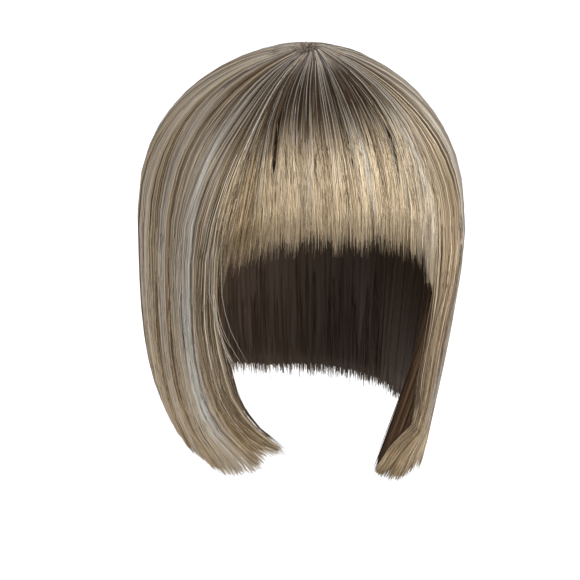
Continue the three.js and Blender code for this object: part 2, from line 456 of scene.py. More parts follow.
BANDS = (
    Band(-110.0, 6.0, -0.3, 0.25, -0.5),
    Band(-97.0, 5.0, 0.35, 0.0, 0.5),
    Band(-88.0, 3.0, 0.2, 0.0, -0.5),
    Band(-83.0, 3.0, 0.5, 0.0, -0.6),
    Band(-77.0, 2.4, -0.55, 0.0, 0.9),
    Band(-71.5, 2.0, 0.15, 0.25, -0.8),
    Band(-67.5, 1.7, -0.6, 0.0, 0.3),
    Band(-64.0, 1.7, 0.1, 0.25, 0.3),
    Band(-59.5, 2.3, 0.0, 0.35, -0.3),
    # The dark bands beside the near front edge are partly the hair's own browner tone and partly painted
    # shade by the face
    Band(-54.6, 1.4, -1.3, 0.1, -0.2),
    Band(-50.0, 2.2, -1.35, 0.0, 0.4),
    Band(-46.0, 1.6, -0.5, 0.0, 0.8),
    Band(-36.0, 5.0, -0.7, 0.0, 0.6),
    Band(-21.0, 2.0, 0.3),
    Band(31.0, 5.0, -0.3, 0.2),
    Band(42.0, 3.5, -1.1, 0.0, 0.5),
    Band(50.0, 3.0, -0.4, 0.0, 0.6),
    Band(57.0, 3.0, -0.7, 0.0, 0.3),
    Band(64.0, 3.0, 0.1, 0.2),
    Band(72.0, 4.0, -0.4, 0.25, -0.5),
    Band(86.0, 5.0, -0.5, 0.0, 0.4),
    Band(104.0, 6.0, 0.3, 0.15, -0.4),
    Band(122.0, 5.0, -0.4, 0.0, 0.6),
    Band(146.0, 6.0, -0.35, 0.25, -0.6),
    Band(163.0, 5.0, 0.35, 0.0, 0.5),
    Band(-171.0, 6.0, -0.4, 0.0, -0.4),
    Band(-157.0, 5.0, 0.1, 0.3, -0.5),
    Band(-139.0, 6.0, -0.5, 0.0, 0.6),
    Band(-124.0, 4.0, 0.4, 0.1, -0.3),
)
# Places painted lighter and more golden, partly the hair's own golden tone and partly painted light where the
# light falls: the front edges low down and the middle of the fringe
LIGHT_AND_GOLD_PATCHES = (
    Streak(-47.0, 6.5, 1.1, 2.3, 1.1),
    Streak(-62.0, 18.0, 1.5, 2.3, 0.6),
    Streak(58.0, 10.0, 1.6, 2.3, 0.3),
    Streak(-5.0, 30.0, 0.42, 1.2, 0.78),
)
GAPS = (
    Gap(-25.5, 0.8, 0.36, 0.70),
    Gap(19.5, 0.8, 0.46, 0.72),
    Gap(3.0, 0.3, 0.45, 0.66),
    Gap(-10.0, 0.3, 0.5, 0.7),
    Gap(-60.0, 0.4, 0.9, 1.5),
    Gap(-80.0, 0.4, 0.6, 1.3),
    Gap(31.0, 0.35, 0.4, 0.64),
    Gap(-33.0, 0.35, 0.4, 0.7),
    Gap(10.5, 0.3, 0.38, 0.6),
)


@dataclass
class Mesher:
    """Turns arrays into a Blender mesh with its maps and values."""

    name: str

    def build(
        self,
        points: Array,
        quads: Array,
        triangles: Array,
        bake: tuple[Array, Array],
        flow: tuple[Array, Array] | None,
        values: dict[str, Array],
    ) -> bpy.types.Object:
        """Makes the object and links it.

        Args:
            points: Corner points.
            quads: Four-cornered faces.
            triangles: Three-cornered faces.
            bake: Map places of the corners of the quads and of the triangles.
            flow: The same for the map that follows the hair, or None.
            values: Numbers kept at each point, by name.

        Returns:
            The new object.
        """
        mesh = bpy.data.meshes.new(self.name)
        corners = np.concatenate([quads.ravel(), triangles.ravel()]).astype(np.int32)
        sizes = np.concatenate([np.full(len(quads), 4), np.full(len(triangles), 3)])
        starts = np.concatenate([[0], np.cumsum(sizes)[:-1]]).astype(np.int32)
        mesh.vertices.add(len(points))
        mesh.vertices.foreach_set("co", points.astype(np.float32).ravel())
        mesh.loops.add(len(corners))
        mesh.loops.foreach_set("vertex_index", corners)
        mesh.polygons.add(len(sizes))
        mesh.polygons.foreach_set("loop_start", starts)
        mesh.update(calc_edges=True)
        mesh.polygons.foreach_set("use_smooth", np.ones(len(sizes), bool))
        for title, parts in ((BAKE_MAP, bake), (FLOW_MAP, flow)):
            if parts is not None:
                layer = mesh.uv_layers.new(name=title)
                places = np.concatenate([p.reshape(-1, 2) for p in parts])
                layer.data.foreach_set("uv", places.astype(np.float32).ravel())
        for title, numbers in values.items():
            layer = mesh.attributes.new(title, "FLOAT", "POINT")
            layer.data.foreach_set("value", numbers.astype(np.float32).ravel())
        mesh.validate()
        made = bpy.data.objects.new(self.name, mesh)
        bpy.context.scene.collection.objects.link(made)
        return made


@dataclass
class StrandSet:
    """A batch of strands: their middle lines, thickness and colouring.

    Attributes:
        lines: Points of every strand, (strands, points, 3).
        outward: Direction away from the head at each point.
        thickness: Radius at each point.
        tint: Lightness at each point, about -1 to 1.
        run: Place along the hair at each point, 0 to 1.
        streak: Paleness at each point.
        shade: Painted shade at each point.
        hue: Olive gold at 1 and mauve grey at -1, at each point.
    """

    lines: Array
    outward: Array
    thickness: Array
    tint: Array
    run: Array
    streak: Array
    shade: Array
    hue: Array


@dataclass
class Tubes:
    """Closed tubes along strands, gathered batch by batch into one mesh."""

    name: str
    sides: int = 3
    cells_in_row: int = 256

    def build(self, batches: Sequence[StrandSet]) -> bpy.types.Object:
        """Makes the mesh.

        Args:
            batches: The strands, whose batches may have unlike numbers of points.

        Returns:
            The new object.
        """
        cell_rows = math.ceil(sum(len(batch.lines) for batch in batches) / self.cells_in_row)
        points, quads, ends, quad_places, end_places = [], [], [], [], []
        values: dict[str, list[Array]] = {"tint": [], "run": [], "streak": [], "shade": [], "hue": []}
        strands, corners = 0, 0
        for batch in batches:
            count, steps = batch.lines.shape[:2]
            index = corners + np.arange(count * steps * self.sides).reshape(count, steps, self.sides)
            after = np.roll(index, -1, axis=2)
            around = np.stack([index[:, :-1], after[:, :-1], after[:, 1:], index[:, 1:]], axis=-1)
            places = self._bake_places(strands + np.arange(count), cell_rows, steps)
            points.append(self._skin(batch).reshape(-1, 3))
            quads.append(around.reshape(-1, 4))
            ends += [index[:, 0, ::-1], index[:, -1, :]]
            quad_places.append(places[0])
            end_places.append(places[1])
            for title, parts in values.items():
                parts.append(np.repeat(getattr(batch, title), self.sides))
            strands, corners = strands + count, corners + index.size
        return Mesher(self.name).build(
            np.concatenate(points),
            np.concatenate(quads),
            np.concatenate(ends),
            (np.concatenate(quad_places), np.concatenate(end_places)),
            None,
            {title: np.concatenate(parts) for title, parts in values.items()},
        )

    def _skin(self, batch: StrandSet) -> Array:
        """Points round every strand, (strands, points, sides, 3)."""
        tangent = np.gradient(batch.lines, axis=1)
        tangent /= np.linalg.norm(tangent, axis=-1, keepdims=True) + 1e-12
        across = np.cross(tangent, batch.outward)
        across /= np.linalg.norm(across, axis=-1, keepdims=True) + 1e-12
        upward = np.cross(across, tangent)
        turns = math.tau * (np.arange(self.sides) / self.sides + 0.25)
        ring = (
            np.cos(turns)[:, None] * across[:, :, None, :]
            + np.sin(turns)[:, None] * upward[:, :, None, :]
        )
        return batch.lines[:, :, None, :] + ring * batch.thickness[:, :, None, None]

    def _bake_places(self, cell: Array, cell_rows: int, steps: int) -> tuple[Array, Array]:
        """Gives each strand its own upright cell of the map.

        Args:
            cell: Number of each strand's cell.
            cell_rows: Rows of cells on the map.
            steps: Points on each strand.

        Returns:
            Map places of the quads' corners and of the end triangles' corners.
        """
        left = (cell % self.cells_in_row + 0.12) / self.cells_in_row
        low = (cell // self.cells_in_row + 0.02) / cell_rows
        wide, high = 0.76 / self.cells_in_row, 0.96 / cell_rows
        side = np.arange(self.sides)
        step = np.arange(steps - 1)
        near, far = side / self.sides * wide, (side + 1) / self.sides * wide
        below, above = step / (steps - 1) * high, (step + 1) / (steps - 1) * high
        shape = (len(cell), steps - 1, self.sides)
        lefts = np.broadcast_to(left[:, None, None] + near, shape)
        rights = np.broadcast_to(left[:, None, None] + far, shape)
        lows = np.broadcast_to((low[:, None] + below)[:, :, None], shape)
        highs = np.broadcast_to((low[:, None] + above)[:, :, None], shape)
        quads = np.stack([lefts, lows, rights, lows, rights, highs, lefts, highs], axis=-1)
        corner = np.array([[0, 0], [wide, 0], [wide / 2, high * 0.01]])
        first = np.stack([left, low], axis=-1)[:, None] + corner
        last = np.stack([left, low + high * 0.99], axis=-1)[:, None] + corner
        return quads.reshape(-1, 4, 2), np.concatenate([first, last])


@dataclass
class Flow:
    """How the hair runs: the outer form, its locks and ridges, its streaks and partings."""

    shape: HairShape
    head: HeadForm
    swirl: float = 45.0
    swirl_reach: float = 0.08
    ridge: float = 0.8 * MM
    fine_ridge: float = 0.3 * MM
    hole: float = 4.5 * MM
    hole_radius: float = 5.5 * MM
    ring: float = 1.1 * MM
    ring_radius: float = 9.0 * MM
    left_front: float = 38.0
    right_front: float = -44.0
    broad: Ripple = field(default_factory=lambda: Ripple(3, 5.5, 0.7))
    fine: Ripple = field(default_factory=lambda: Ripple(5, 1.7, 0.5))
    meander: Ripple = field(default_factory=lambda: Ripple(9, 14.0, 1.5))
    tone: Ripple = field(default_factory=lambda: Ripple(15, 0.75, 5.0, 9))
    crown_tone: Ripple = field(default_factory=lambda: Ripple(19, 3.0, 0.0, 9))
    hub_tone: Ripple = field(default_factory=lambda: Ripple(23, 10.0, 0.0, 7))
    wide_tone: Ripple = field(default_factory=lambda: Ripple(17, 4.5, 0.0, 7))

    # Sweep off the crown: degrees at the widest level, and degrees added nearer to the crown
    SWEEP = (
        (-180, 0), (-110, -3), (-85, -9), (-73, -10), (-64, 0), (-57, 9), (-47, 6), (-38, 1), (-26, -5),
        (-12, -2), (0, 0), (12, 5), (21, 8), (30, 8), (38, 6), (46, 1), (56, -5), (66, 1), (80, 5),
        (110, 2), (180, 0),
    )
    # Front edges below the widest level: place along the hair, and degrees added
    LEFT_EDGE = (
        (0.8, 0), (1.0, -2), (1.11, -2), (1.25, -0.5), (1.37, 2), (1.5, 6), (1.6, 10), (1.7, 13.5),
        (1.78, 15.5), (1.84, 14.5), (1.88, 10.5), (1.92, 5), (1.96, 0.5), (2.0, -2),
    )
    RIGHT_EDGE = (
        (0.8, 0), (1.0, -2.5), (1.2, -3), (1.35, -2.3), (1.5, -1.5), (1.65, -2), (1.8, -1.5), (1.9, -0.5),
        (1.96, 2.5), (2.0, 2),
    )
    LEFT_REACH = 26.0
    RIGHT_REACH = 20.0

    def bend(self, angle: Array, along: Array, outer: bool = True) -> Array:
        """Where a strand that lies at an angle at the widest level runs at each place.

        Args:
            angle: The strand's own angle.
            along: Place along the hair.
            outer: Whether it is one of the outer strands, which sweep off the front edges.

        Returns:
            The angle there, in degrees.
        """
        loose = 0.5 * self.meander.at(angle, along * 2) * ramp(along, 0.15, 0.5)
        parted = angle + loose
        for gap in GAPS:
            distance = angle - gap.angle
            push = np.sign(distance) * gap.width * np.exp(-np.abs(distance) / (gap.width * 2.2))
            parted = parted + push * gap.openness(along)
        folded = (parted + 180) % 360 - 180
        swirl = self.swirl * np.exp(-np.maximum(along, 0.0) / self.swirl_reach)
        sweep = column(self.SWEEP, 1, folded) * (1 - ramp(along, 0.3, 0.95))
        left = np.where(folded > 0, np.exp(-np.maximum(folded - self.left_front, 0) / self.LEFT_REACH), 0)
        right = np.where(folded < 0, np.exp(-np.maximum(self.right_front - folded, 0) / self.RIGHT_REACH), 0)
        front = 0.0
        if outer:
            front = left * column(self.LEFT_EDGE, 1, along) + right * column(self.RIGHT_EDGE, 1, along)
        return parted + swirl + sweep + front

    def shadow(self, angle: Array, along: Array) -> Array:
        """Painted shade over the front of the crown, beside the front edges, on the sides and in the
        partings.

        Args:
            angle: The strand's own angle.
            along: Place along the hair.

        Returns:
            Strength of the painted shade, 0 to 1.
        """
        folded = (angle + 180) % 360 - 180
        dark = self.crown_shadow(folded, along) + self.edge_shadow(folded, along)
        return np.clip(dark + self.side_shadow(folded, along) + self.parting_shadow(folded, along), 0, 1)

    @staticmethod
    def crown_shadow(folded: Array, along: Array) -> Array:
        """Painted shade over the roots at the front of the crown, which reaches further down towards the
        right side.
        """
        least, middle, half_width, lowering = 0.08, -8, 52, 0.14
        over = least + (1 - least) * np.exp(-(((folded - middle) / half_width) ** 4))
        lower = lowering * ramp(-folded, 15, 42)
        return over * ramp(along, 0.07, 0.22) * (1 - ramp(along - lower, 0.36, 0.56))

    def edge_shadow(self, folded: Array, along: Array) -> Array:
        """Painted shade on the strands beside the front edges, where the hair lies in shade by the face, less
        at their tips.
        """
        right_dark, right_width, left_dark, left_width, tip_share = 0.6, 6.5, 0.7, 11, 0.7
        right = right_dark * np.exp(-(((folded - self.right_front) / right_width) ** 2))
        left = left_dark * np.exp(-(((folded - self.left_front) / left_width) ** 2))
        right = right * ramp(along, 0.7, 0.95) * (folded < self.right_front + 1)
        left = left * ramp(along, 0.95, 1.2) * (folded > self.left_front - 1)
        return (right + left) * (1 - tip_share * ramp(along, 1.75, 1.95))

    @staticmethod
    def side_shadow(folded: Array, along: Array) -> Array:
        """Painted shade on both sides, which get less of the key light, deeper on the left."""
        both, left_more = 0.22, 0.32
        side = both * ramp(np.abs(folded), 40, 62) + left_more * ramp(folded, 38, 56)
        return side * ramp(along, 0.45, 0.85)

    @staticmethod
    def parting_shadow(folded: Array, along: Array) -> Array:
        """Painted shade inside the partings."""
        most, share_of_width = 0.9, 0.6
        parting = 0.0
        for gap in GAPS:
            spot = np.exp(-(((folded - gap.angle) / (share_of_width * gap.width)) ** 2))
            parting = np.maximum(parting, most * spot * gap.openness(along))
        return parting

    def relief(self, angle: Array, along: Array) -> Array:
        """Depth of the ridges below the outer form at each place, from 0 up."""
        grow = ramp(along, 0.1, 0.45)
        waves = self.ridge * (self.broad.at(angle, along) * 0.5 + 0.5)
        return grow * (waves + self.fine_ridge * (self.fine.at(angle, along) + 1))

    def dimple(self, outer: Array) -> Array:
        """Depth of the whorl's dimple, less the rise of the ring round it."""
        radius = np.hypot(outer[..., 0], outer[..., 1] - self.shape.whorl)
        hole = self.hole * (1 - ramp(radius, 0.2 * self.hole_radius, self.hole_radius))
        return hole - self.ring * np.exp(-(((radius - self.ring_radius) / (0.4 * self.ring_radius)) ** 2))

    def band(self, angle: Array) -> tuple[Array, Array, Array]:
        """Lightness, silver and hue that the colour bands give to strands at their own angles."""
        folded = (angle + 180) % 360 - 180
        lightness, silver, hue = 0.0, 0.0, 0.0
        for band in BANDS:
            within = np.exp(-(((folded - band.angle) / band.width) ** 2))
            lightness = lightness + band.lightness * within
            silver = np.maximum(silver, band.silver * within)
            hue = hue + band.hue * within
        return lightness, silver, hue

    def hub(self, points: Array) -> Array:
        """Painted shade in the middle of the whorl's dimple, 0 to 1."""
        radius = np.hypot(points[..., 0], points[..., 1] - self.shape.whorl)
        return 1 - ramp(radius, 0.4 * self.hole_radius, self.hole_radius)

    def streak(self, angle: Array, along: Array, table: Sequence[Streak] = STREAKS) -> Array:
        """Strength of the streaks of a table at each place, 0 to 1."""
        total = np.zeros(np.broadcast(angle, along).shape)
        for s in table:
            band = np.exp(-(((angle - s.angle) / s.width) ** 2))
            fade = ramp(along, s.start, s.start + 0.25) * (1 - ramp(along, s.end - 0.2, s.end + 0.1))
            total = np.maximum(total, s.strength * band * fade)
        return total

    def place(self, own: Array, angle: Array, along: Array, depth: Array) -> tuple[Array, Array]:
        """Puts strand points at a depth in the hair.

        Args:
            own: The strand's own angle, which the ridges follow.
            angle: Angle of each point.
            along: Place along the hair.
            depth: Depth below the outer form.

        Returns:
            The points, and the direction away from the head at each.
        """
        outer = self.shape.surface(angle, along)
        inward, room = self.head.inwards(outer, 0.6 * MM)
        sunk = np.minimum(depth + self.relief(own, along) + self.dimple(outer), room)
        return outer + inward * sunk[..., None], -inward


@dataclass
class StrandPlan:
    """How one batch of strands grows.

    Attributes:
        seed: Seed of its draw.
        count: How many strands.
        span: Least and greatest angle.
        starts: First and last row where they leave the hair below, or None for the whorl.
        depths: Least and greatest depth below the outer form.
        width: Radius of a strand.
        end_spread: How unevenly they end.
        notch: How much sooner the strands at a lock's edge end.
        clump: How far a lock draws its strands together at the tips.
        stray: How far a strand wanders by itself, in degrees.
        lift: How far tips may stand off.
        pale_share: Share of the strands that are paler by themselves.
        shade: Painted shade over the whole batch.
        blunt: Share of its width that a strand keeps at its tip.
        root_radii: Range of the distance from the whorl's middle where its strands leave it.
        collar: Radius round the whorl of the first row that all strands share.
        outer: Whether they are outer strands, which sweep off the front edges.
        past: How far a strand may reach past the cut.
        contrast: How unlike in lightness the strands are.
        drift: Degrees by which the strands run off at their tips.
        pale_kept: Share of their own paleness that they keep below the crown.
        tip_hue: Olive gold added towards the tips.
    """

    seed: int
    count: int
    span: tuple[float, float]
    starts: tuple[int, int] | None = None
    depths: tuple[float, float] = (-0.1 * MM, 1.1 * MM)
    width: float = 0.26 * MM
    end_spread: float = 0.02
    notch: float = 0.4
    clump: float = 0.1
    stray: float = 0.45
    lift: float = 0.4 * MM
    pale_share: float = 0.04
    shade: float = 0.0
    blunt: float = 0.4
    root_radii: tuple[float, float] = (3.0 * MM, 8.0 * MM)
    collar: float = 11.0 * MM
    outer: bool = True
    past: float = 0.03
    contrast: float = 1.0
    drift: float = 0.0
    pale_kept: float = 0.4
    tip_hue: float = 0.6

    # Equal shares of the strands by how far they take part in a streak, and in a shadow
    IN_STREAK = (0.0, 0.3, 1.0, 1.0)
    IN_SHADOW = (0.6, 0.9, 1.0, 1.0, 1.0, 1.0)
    # Depth at which a strand that starts lower down leaves the hair below
    BURIED = (0.8 * MM, 2.5 * MM)

    def grow(
        self, flow: Flow, locks: Locks, rows: Sequence[float], end_of: Callable[[Array], Array]
    ) -> list[StrandSet]:
        """Works out every strand of the batch.

        Args:
            flow: How the hair runs.
            locks: The locks that the strands join.
            rows: Rows that all strands share, as shares of the way from the collar to the cut.
            end_of: Function from angles to the place where the hair is cut.

        Returns:
            The strands, a set for each row that they start from.
        """
        draw = np.random.default_rng(self.seed)
        n = self.count
        angle = (np.arange(n) + draw.random(n)) / n * (self.span[1] - self.span[0]) + self.span[0]
        offset, edge, lock_number = locks.pull(angle)
        cut = end_of(angle)
        first = flow.shape.along_at_radius(angle, self.collar)
        if self.starts is None:
            row = np.zeros(n, int)
            start = flow.shape.along_at_radius(angle, draw.uniform(*self.root_radii, n))
            buried = np.zeros(n)
        else:
            row = draw.integers(self.starts[0], self.starts[1] + 1, n)
            table = np.array(rows)
            back = 0.1 + 0.8 * draw.random(n)
            start = first + (cut - first) * (table[row] + (table[row - 1] - table[row]) * back)
            buried = draw.uniform(*self.BURIED, n)
        uneven = draw.normal(0, 0.8, n) - self.notch * (edge**2 - 0.5 * lock_number)
        reach = self.end_spread * uneven
        reach = np.where(reach > 0, self.past * np.tanh(reach / self.past), reach)
        band, silver, hue = flow.band(angle)
        tone = 0.25 * flow.wide_tone.at(angle, 0.0) + band
        traits = {
            "angle": angle,
            "offset": offset * self.clump * (0.5 + 0.5 * draw.random(n)),
            "edge": edge,
            "first": first,
            "cut": cut,
            "start": start,
            "end": cut + reach,
            "buried": buried,
            "wave": draw.uniform(0, math.tau, n),
            "waves": draw.uniform(1.5, 5.0, n),
            "depth": draw.uniform(*self.depths, n),
            "lift": self.lift * draw.random(n),
            "width": self.width * draw.uniform(0.75, 1.25, n),
            "tint": self.contrast * (draw.normal(0, 0.95, n) + tone),
            "in_streak": draw.choice(self.IN_STREAK, n),
            "in_shadow": draw.choice(self.IN_SHADOW, n),
            "silver": silver * draw.uniform(0.5, 1.3, n),
            "hue": hue * draw.uniform(0.6, 1.3, n),
            "pale": np.where(draw.random(n) < self.pale_share, draw.uniform(0.3, 0.9, n), 0.0),
        }
        return [
            self._shape(flow, np.array(rows[j:]), {title: v[row == j] for title, v in traits.items()})
            for j in np.unique(row)
        ]

    def _shape(self, flow: Flow, rows: Array, traits: dict[str, Array]) -> StrandSet:
        """Lays strands that start from the same row.

        Args:
            flow: How the hair runs.
            rows: The rows that they pass.
            traits: A number for each strand, by name.

        Returns:
            The strands.
        """
        t = {title: values[:, None] for title, values in traits.items()}
        least_step, root_share, edge_sink = 0.012, 0.4, 0.5 * MM
        shared = t["first"] + (t["cut"] - t["first"]) * rows
        shared = np.minimum(shared, t["end"] - least_step * np.arange(len(rows))[::-1])
        shared[:, -1:] = t["end"]
        along = np.concatenate([t["start"], shared], axis=1)
        share = np.clip((along - t["start"]) / (t["end"] - t["start"]), 0, 1)
        own = self.stray * np.sin(t["wave"] + share * t["waves"]) * ramp(share, 0.05, 0.4)
        own = own + self.drift * share**2
        moved = flow.bend(t["angle"] + t["offset"] * ramp(share, 0.25, 1.0) + own, along, self.outer)
        depth = t["depth"] + t["buried"] * (1 - ramp(share, 0.0, 0.15))
        depth = depth + edge_sink * t["edge"] ** 2 * ramp(share, 0.2, 0.9) - t["lift"] * share**3
        lines, outward = flow.place(t["angle"] + 0 * along, moved, along, depth)
        taper = root_share + (1 - root_share) * ramp(share, 0.0, 0.15)
        taper = taper * (1 - (1 - self.blunt) * ramp(share, 0.85, 1.0))
        pale = np.maximum(flow.streak(moved, along) * t["in_streak"], t["silver"] * ramp(along, 0.3, 0.6))
        own_pale = t["pale"] * ramp(along, 0.03, 0.16) * (1 - (1 - self.pale_kept) * ramp(along, 0.45, 0.8))
        # Painted shade: deeper strands are darker, as if shaded by those above, and the shadow terms and the
        # whorl's dimple darken them more
        sunk = 0.45 * ramp(t["depth"], 0.4 * MM, 1.8 * MM) + 0.5 * ramp(t["depth"], 2 * MM, 6 * MM)
        lit = np.where(t["pale"] > 0, 0.15, t["in_shadow"])
        dark = self.shade + sunk + lit * flow.shadow(t["angle"] + 0 * along, along) + 0.1 * flow.hub(lines)
        crown = 1.3 * flow.crown_tone.at(t["angle"], 0.0) * (1 - ramp(along, 0.3, 0.6))
        crown = crown + 1.6 * flow.hub_tone.at(t["angle"], 0.0) * (1 - ramp(along, 0.08, 0.26))
        tone = crown + 0.7 * flow.tone.at(t["angle"], along) * ramp(along, 0.2, 0.5)
        # Lighter patches from the table above: partly golden tone, partly painted light
        tint = t["tint"] + self.contrast * tone + flow.streak(moved, along, LIGHT_AND_GOLD_PATCHES)
        return StrandSet(
            lines, outward, t["width"] * taper, np.clip(tint, -1.6, 1.6), along / 2,
            np.maximum(pale, own_pale), np.clip(dark, 0, 0.97),
            np.clip(t["hue"] + self.tip_hue * ramp(share, 0.5, 0.9), -1, 1),
        )


@dataclass
class GroupParts:
    """A node group that is being built: its tree, node kit, input node and output node."""

    tree: bpy.types.NodeTree
    kit: "NodeKit"
    start: bpy.types.Node
    end: bpy.types.Node


class NodeKit:
    """Short ways to lay out shader nodes in a tree."""

    def __init__(self, tree: bpy.types.NodeTree) -> None:
        """Keeps the tree that the nodes go into."""
        self.tree = tree

    def add(self, kind: str, **inputs: Feed) -> bpy.types.Node:
        """Adds a node and sets or links its inputs.

        Args:
            kind: Node type.
            **inputs: Input name with underscores for spaces, and its value or the socket that feeds it.

        Returns:
            The node.
        """
        node = self.tree.nodes.new(kind)
        for name, value in inputs.items():
            socket = node.inputs[int(name[1:])] if name[1:].isdigit() else node.inputs[name.replace("_", " ")]
            self.feed(socket, value)
        return node

    def feed(self, socket: bpy.types.NodeSocket, value: Feed) -> None:
        """Links a socket to another, or sets its value."""
        if isinstance(value, bpy.types.NodeSocket):
            self.tree.links.new(value, socket)
        elif isinstance(value, tuple) and len(value) == 3 and socket.type == "RGBA":
            socket.default_value = (*value, 1.0)
        else:
            socket.default_value = value

    def group(self, tree: bpy.types.NodeTree) -> bpy.types.Node:
        """Adds a node group."""
        node = self.tree.nodes.new("ShaderNodeGroup")
        node.node_tree = tree
        return node

    def attribute(self, name: str) -> bpy.types.NodeSocket:
        """Number that the mesh keeps at each point."""
        node = self.tree.nodes.new("ShaderNodeAttribute")
        node.attribute_name = name
        return node.outputs["Fac"]

    def math(self, operation: str, *values: Feed) -> bpy.types.NodeSocket:
        """Result of an arithmetic node."""
        node = self.tree.nodes.new("ShaderNodeMath")
        node.operation = operation
        for socket, value in zip(node.inputs, values):
            self.feed(socket, value)
        return node.outputs[0]

    def between(
        self, value: Feed, from_low: float, from_high: float, low: float, high: float
    ) -> bpy.types.NodeSocket:
        """Maps a number from one range to another, held at the ends."""
        node = self.tree.nodes.new("ShaderNodeMapRange")
        for socket, v in zip(node.inputs, (value, from_low, from_high, low, high)):
            self.feed(socket, v)
        return node.outputs[0]

    def mix(self, factor: Feed, first: Feed, second: Feed, blend: str = "MIX") -> bpy.types.NodeSocket:
        """Mixes two colours."""
        node = self.tree.nodes.new("ShaderNodeMix")
        node.data_type = "RGBA"
        node.blend_type = blend
        self.feed(node.inputs[0], factor)
        self.feed(node.inputs[6], first)
        self.feed(node.inputs[7], second)
        return node.outputs[2]


class Groups:
    """Shader node groups that more than one finish uses, each built once."""

    made: dict[str, bpy.types.NodeTree] = {}

    @classmethod
    def tree(cls, name: str, inputs: dict[str, object], outputs: dict[str, str]) -> "GroupParts":
        """Starts a group with named inputs and outputs.

        Args:
            name: Name of the group.
            inputs: Input names with a colour or a number as default.
            outputs: Output names with their socket types.

        Returns:
            The parts of the group.
        """
        tree = bpy.data.node_groups.new(name, "ShaderNodeTree")
        for title, value in inputs.items():
            kind = "NodeSocketColor" if isinstance(value, tuple) else "NodeSocketFloat"
            socket = tree.interface.new_socket(title, in_out="INPUT", socket_type=kind)
            socket.default_value = (*value, 1.0) if isinstance(value, tuple) else value
        for title, kind in outputs.items():
            tree.interface.new_socket(title, in_out="OUTPUT", socket_type=kind)
        kit = NodeKit(tree)
        start = tree.nodes.new("NodeGroupInput")
        end = tree.nodes.new("NodeGroupOutput")
        cls.made[name] = tree
        return GroupParts(tree, kit, start, end)

    @classmethod
    def hair_colour(cls) -> bpy.types.NodeTree:
        """Colour of a strand from its place, lightness, paleness and painted shade."""
        if "hair_colour" in cls.made:
            return cls.made["hair_colour"]
        grey = (0.5, 0.5, 0.5)
        group = cls.tree(
            "hair_colour",
            {
                "Root": grey, "Band": grey, "Length": grey, "Tip": grey,
                "Pale": grey, "Gold": grey, "Deep": grey, "Olive": grey, "Mauve": grey,
                "Tint": 0.0, "Run": 0.5, "Streak": 0.0, "Shade": 0.0, "Hue": 0.0,
            },
            {"Color": "NodeSocketColor", "Gloss": "NodeSocketFloat", "Lit": "NodeSocketFloat"},
        )
        kit, get = group.kit, group.start.outputs
        base = kit.mix(kit.between(get["Run"], 0.05, 0.13, 0.0, 1.0), get["Root"], get["Band"])
        base = kit.mix(kit.between(get["Run"], 0.18, 0.3, 0.0, 1.0), base, get["Length"])
        base = kit.mix(kit.between(get["Run"], 0.36, 0.9, 0.0, 1.0), base, get["Tip"])
        base = kit.mix(kit.between(get["Hue"], 0.0, 1.0, 0.0, 0.85), base, get["Olive"])
        base = kit.mix(kit.between(get["Hue"], 0.0, -1.0, 0.0, 0.85), base, get["Mauve"])
        base = kit.mix(kit.between(get["Tint"], 0.0, 1.6, 0.0, 0.65), base, get["Gold"])
        base = kit.mix(kit.between(get["Tint"], 0.0, -1.6, 0.0, 0.85), base, get["Deep"])
        base = kit.mix(get["Streak"], base, get["Pale"])
        # Painted shade mixes towards the deep colour
        base = kit.mix(get["Shade"], base, get["Deep"])
        kit.feed(group.end.inputs["Color"], base)
        kit.feed(group.end.inputs["Gloss"], kit.between(get["Tint"], -1.5, 1.5, 0.46, 0.34))
        kit.feed(group.end.inputs["Lit"], kit.between(get["Shade"], 0.0, 1.0, 1.0, 0.0))
        return group.tree

    @classmethod
    def fibre_streaks(cls) -> bpy.types.NodeTree:
        """Fine lines that follow the hair, from the map that runs along it."""
        if "fibre_streaks" in cls.made:
            return cls.made["fibre_streaks"]
        group = cls.tree(
            "fibre_streaks",
            {"Fineness": 1.0, "Waver": 1.0},
            {"Tint": "NodeSocketFloat", "Height": "NodeSocketFloat"},
        )
        tree, kit = group.tree, group.kit
        chart = tree.nodes.new("ShaderNodeUVMap")
        chart.uv_map = FLOW_MAP
        parts = tree.nodes.new("ShaderNodeSeparateXYZ")
        kit.feed(parts.inputs[0], chart.outputs[0])
        outputs = group.start.outputs
        total = None
        for step, (rate, share) in enumerate(((0.45, 0.45), (1.6, 0.35), (4.2, 0.3))):
            across = kit.math("MULTIPLY", kit.math("MULTIPLY", parts.outputs[0], outputs["Fineness"]), rate)
            along = kit.math("MULTIPLY", parts.outputs[1], outputs["Waver"])
            point = kit.add("ShaderNodeCombineXYZ", X=across, Y=along, Z=float(step * 7))
            noise = kit.add("ShaderNodeTexNoise", Vector=point.outputs[0], Scale=1.0, Detail=1.0)
            level = kit.math("MULTIPLY", kit.math("SUBTRACT", noise.outputs[0], 0.5), share * 7)
            total = level if total is None else kit.math("ADD", total, level)
        kit.feed(group.end.inputs["Tint"], total)
        kit.feed(group.end.inputs["Height"], kit.math("MULTIPLY_ADD", total, 0.25, 0.5))
        return tree


def blank_material(name: str) -> tuple[bpy.types.Material, NodeKit, bpy.types.Node]:
    """Starts a material.

    Args:
        name: Its name.

    Returns:
        The material, a kit for its tree and its surface shader.
    """
    made = bpy.data.materials.new(name)
    made.use_nodes = True
    return made, NodeKit(made.node_tree), made.node_tree.nodes["Principled BSDF"]


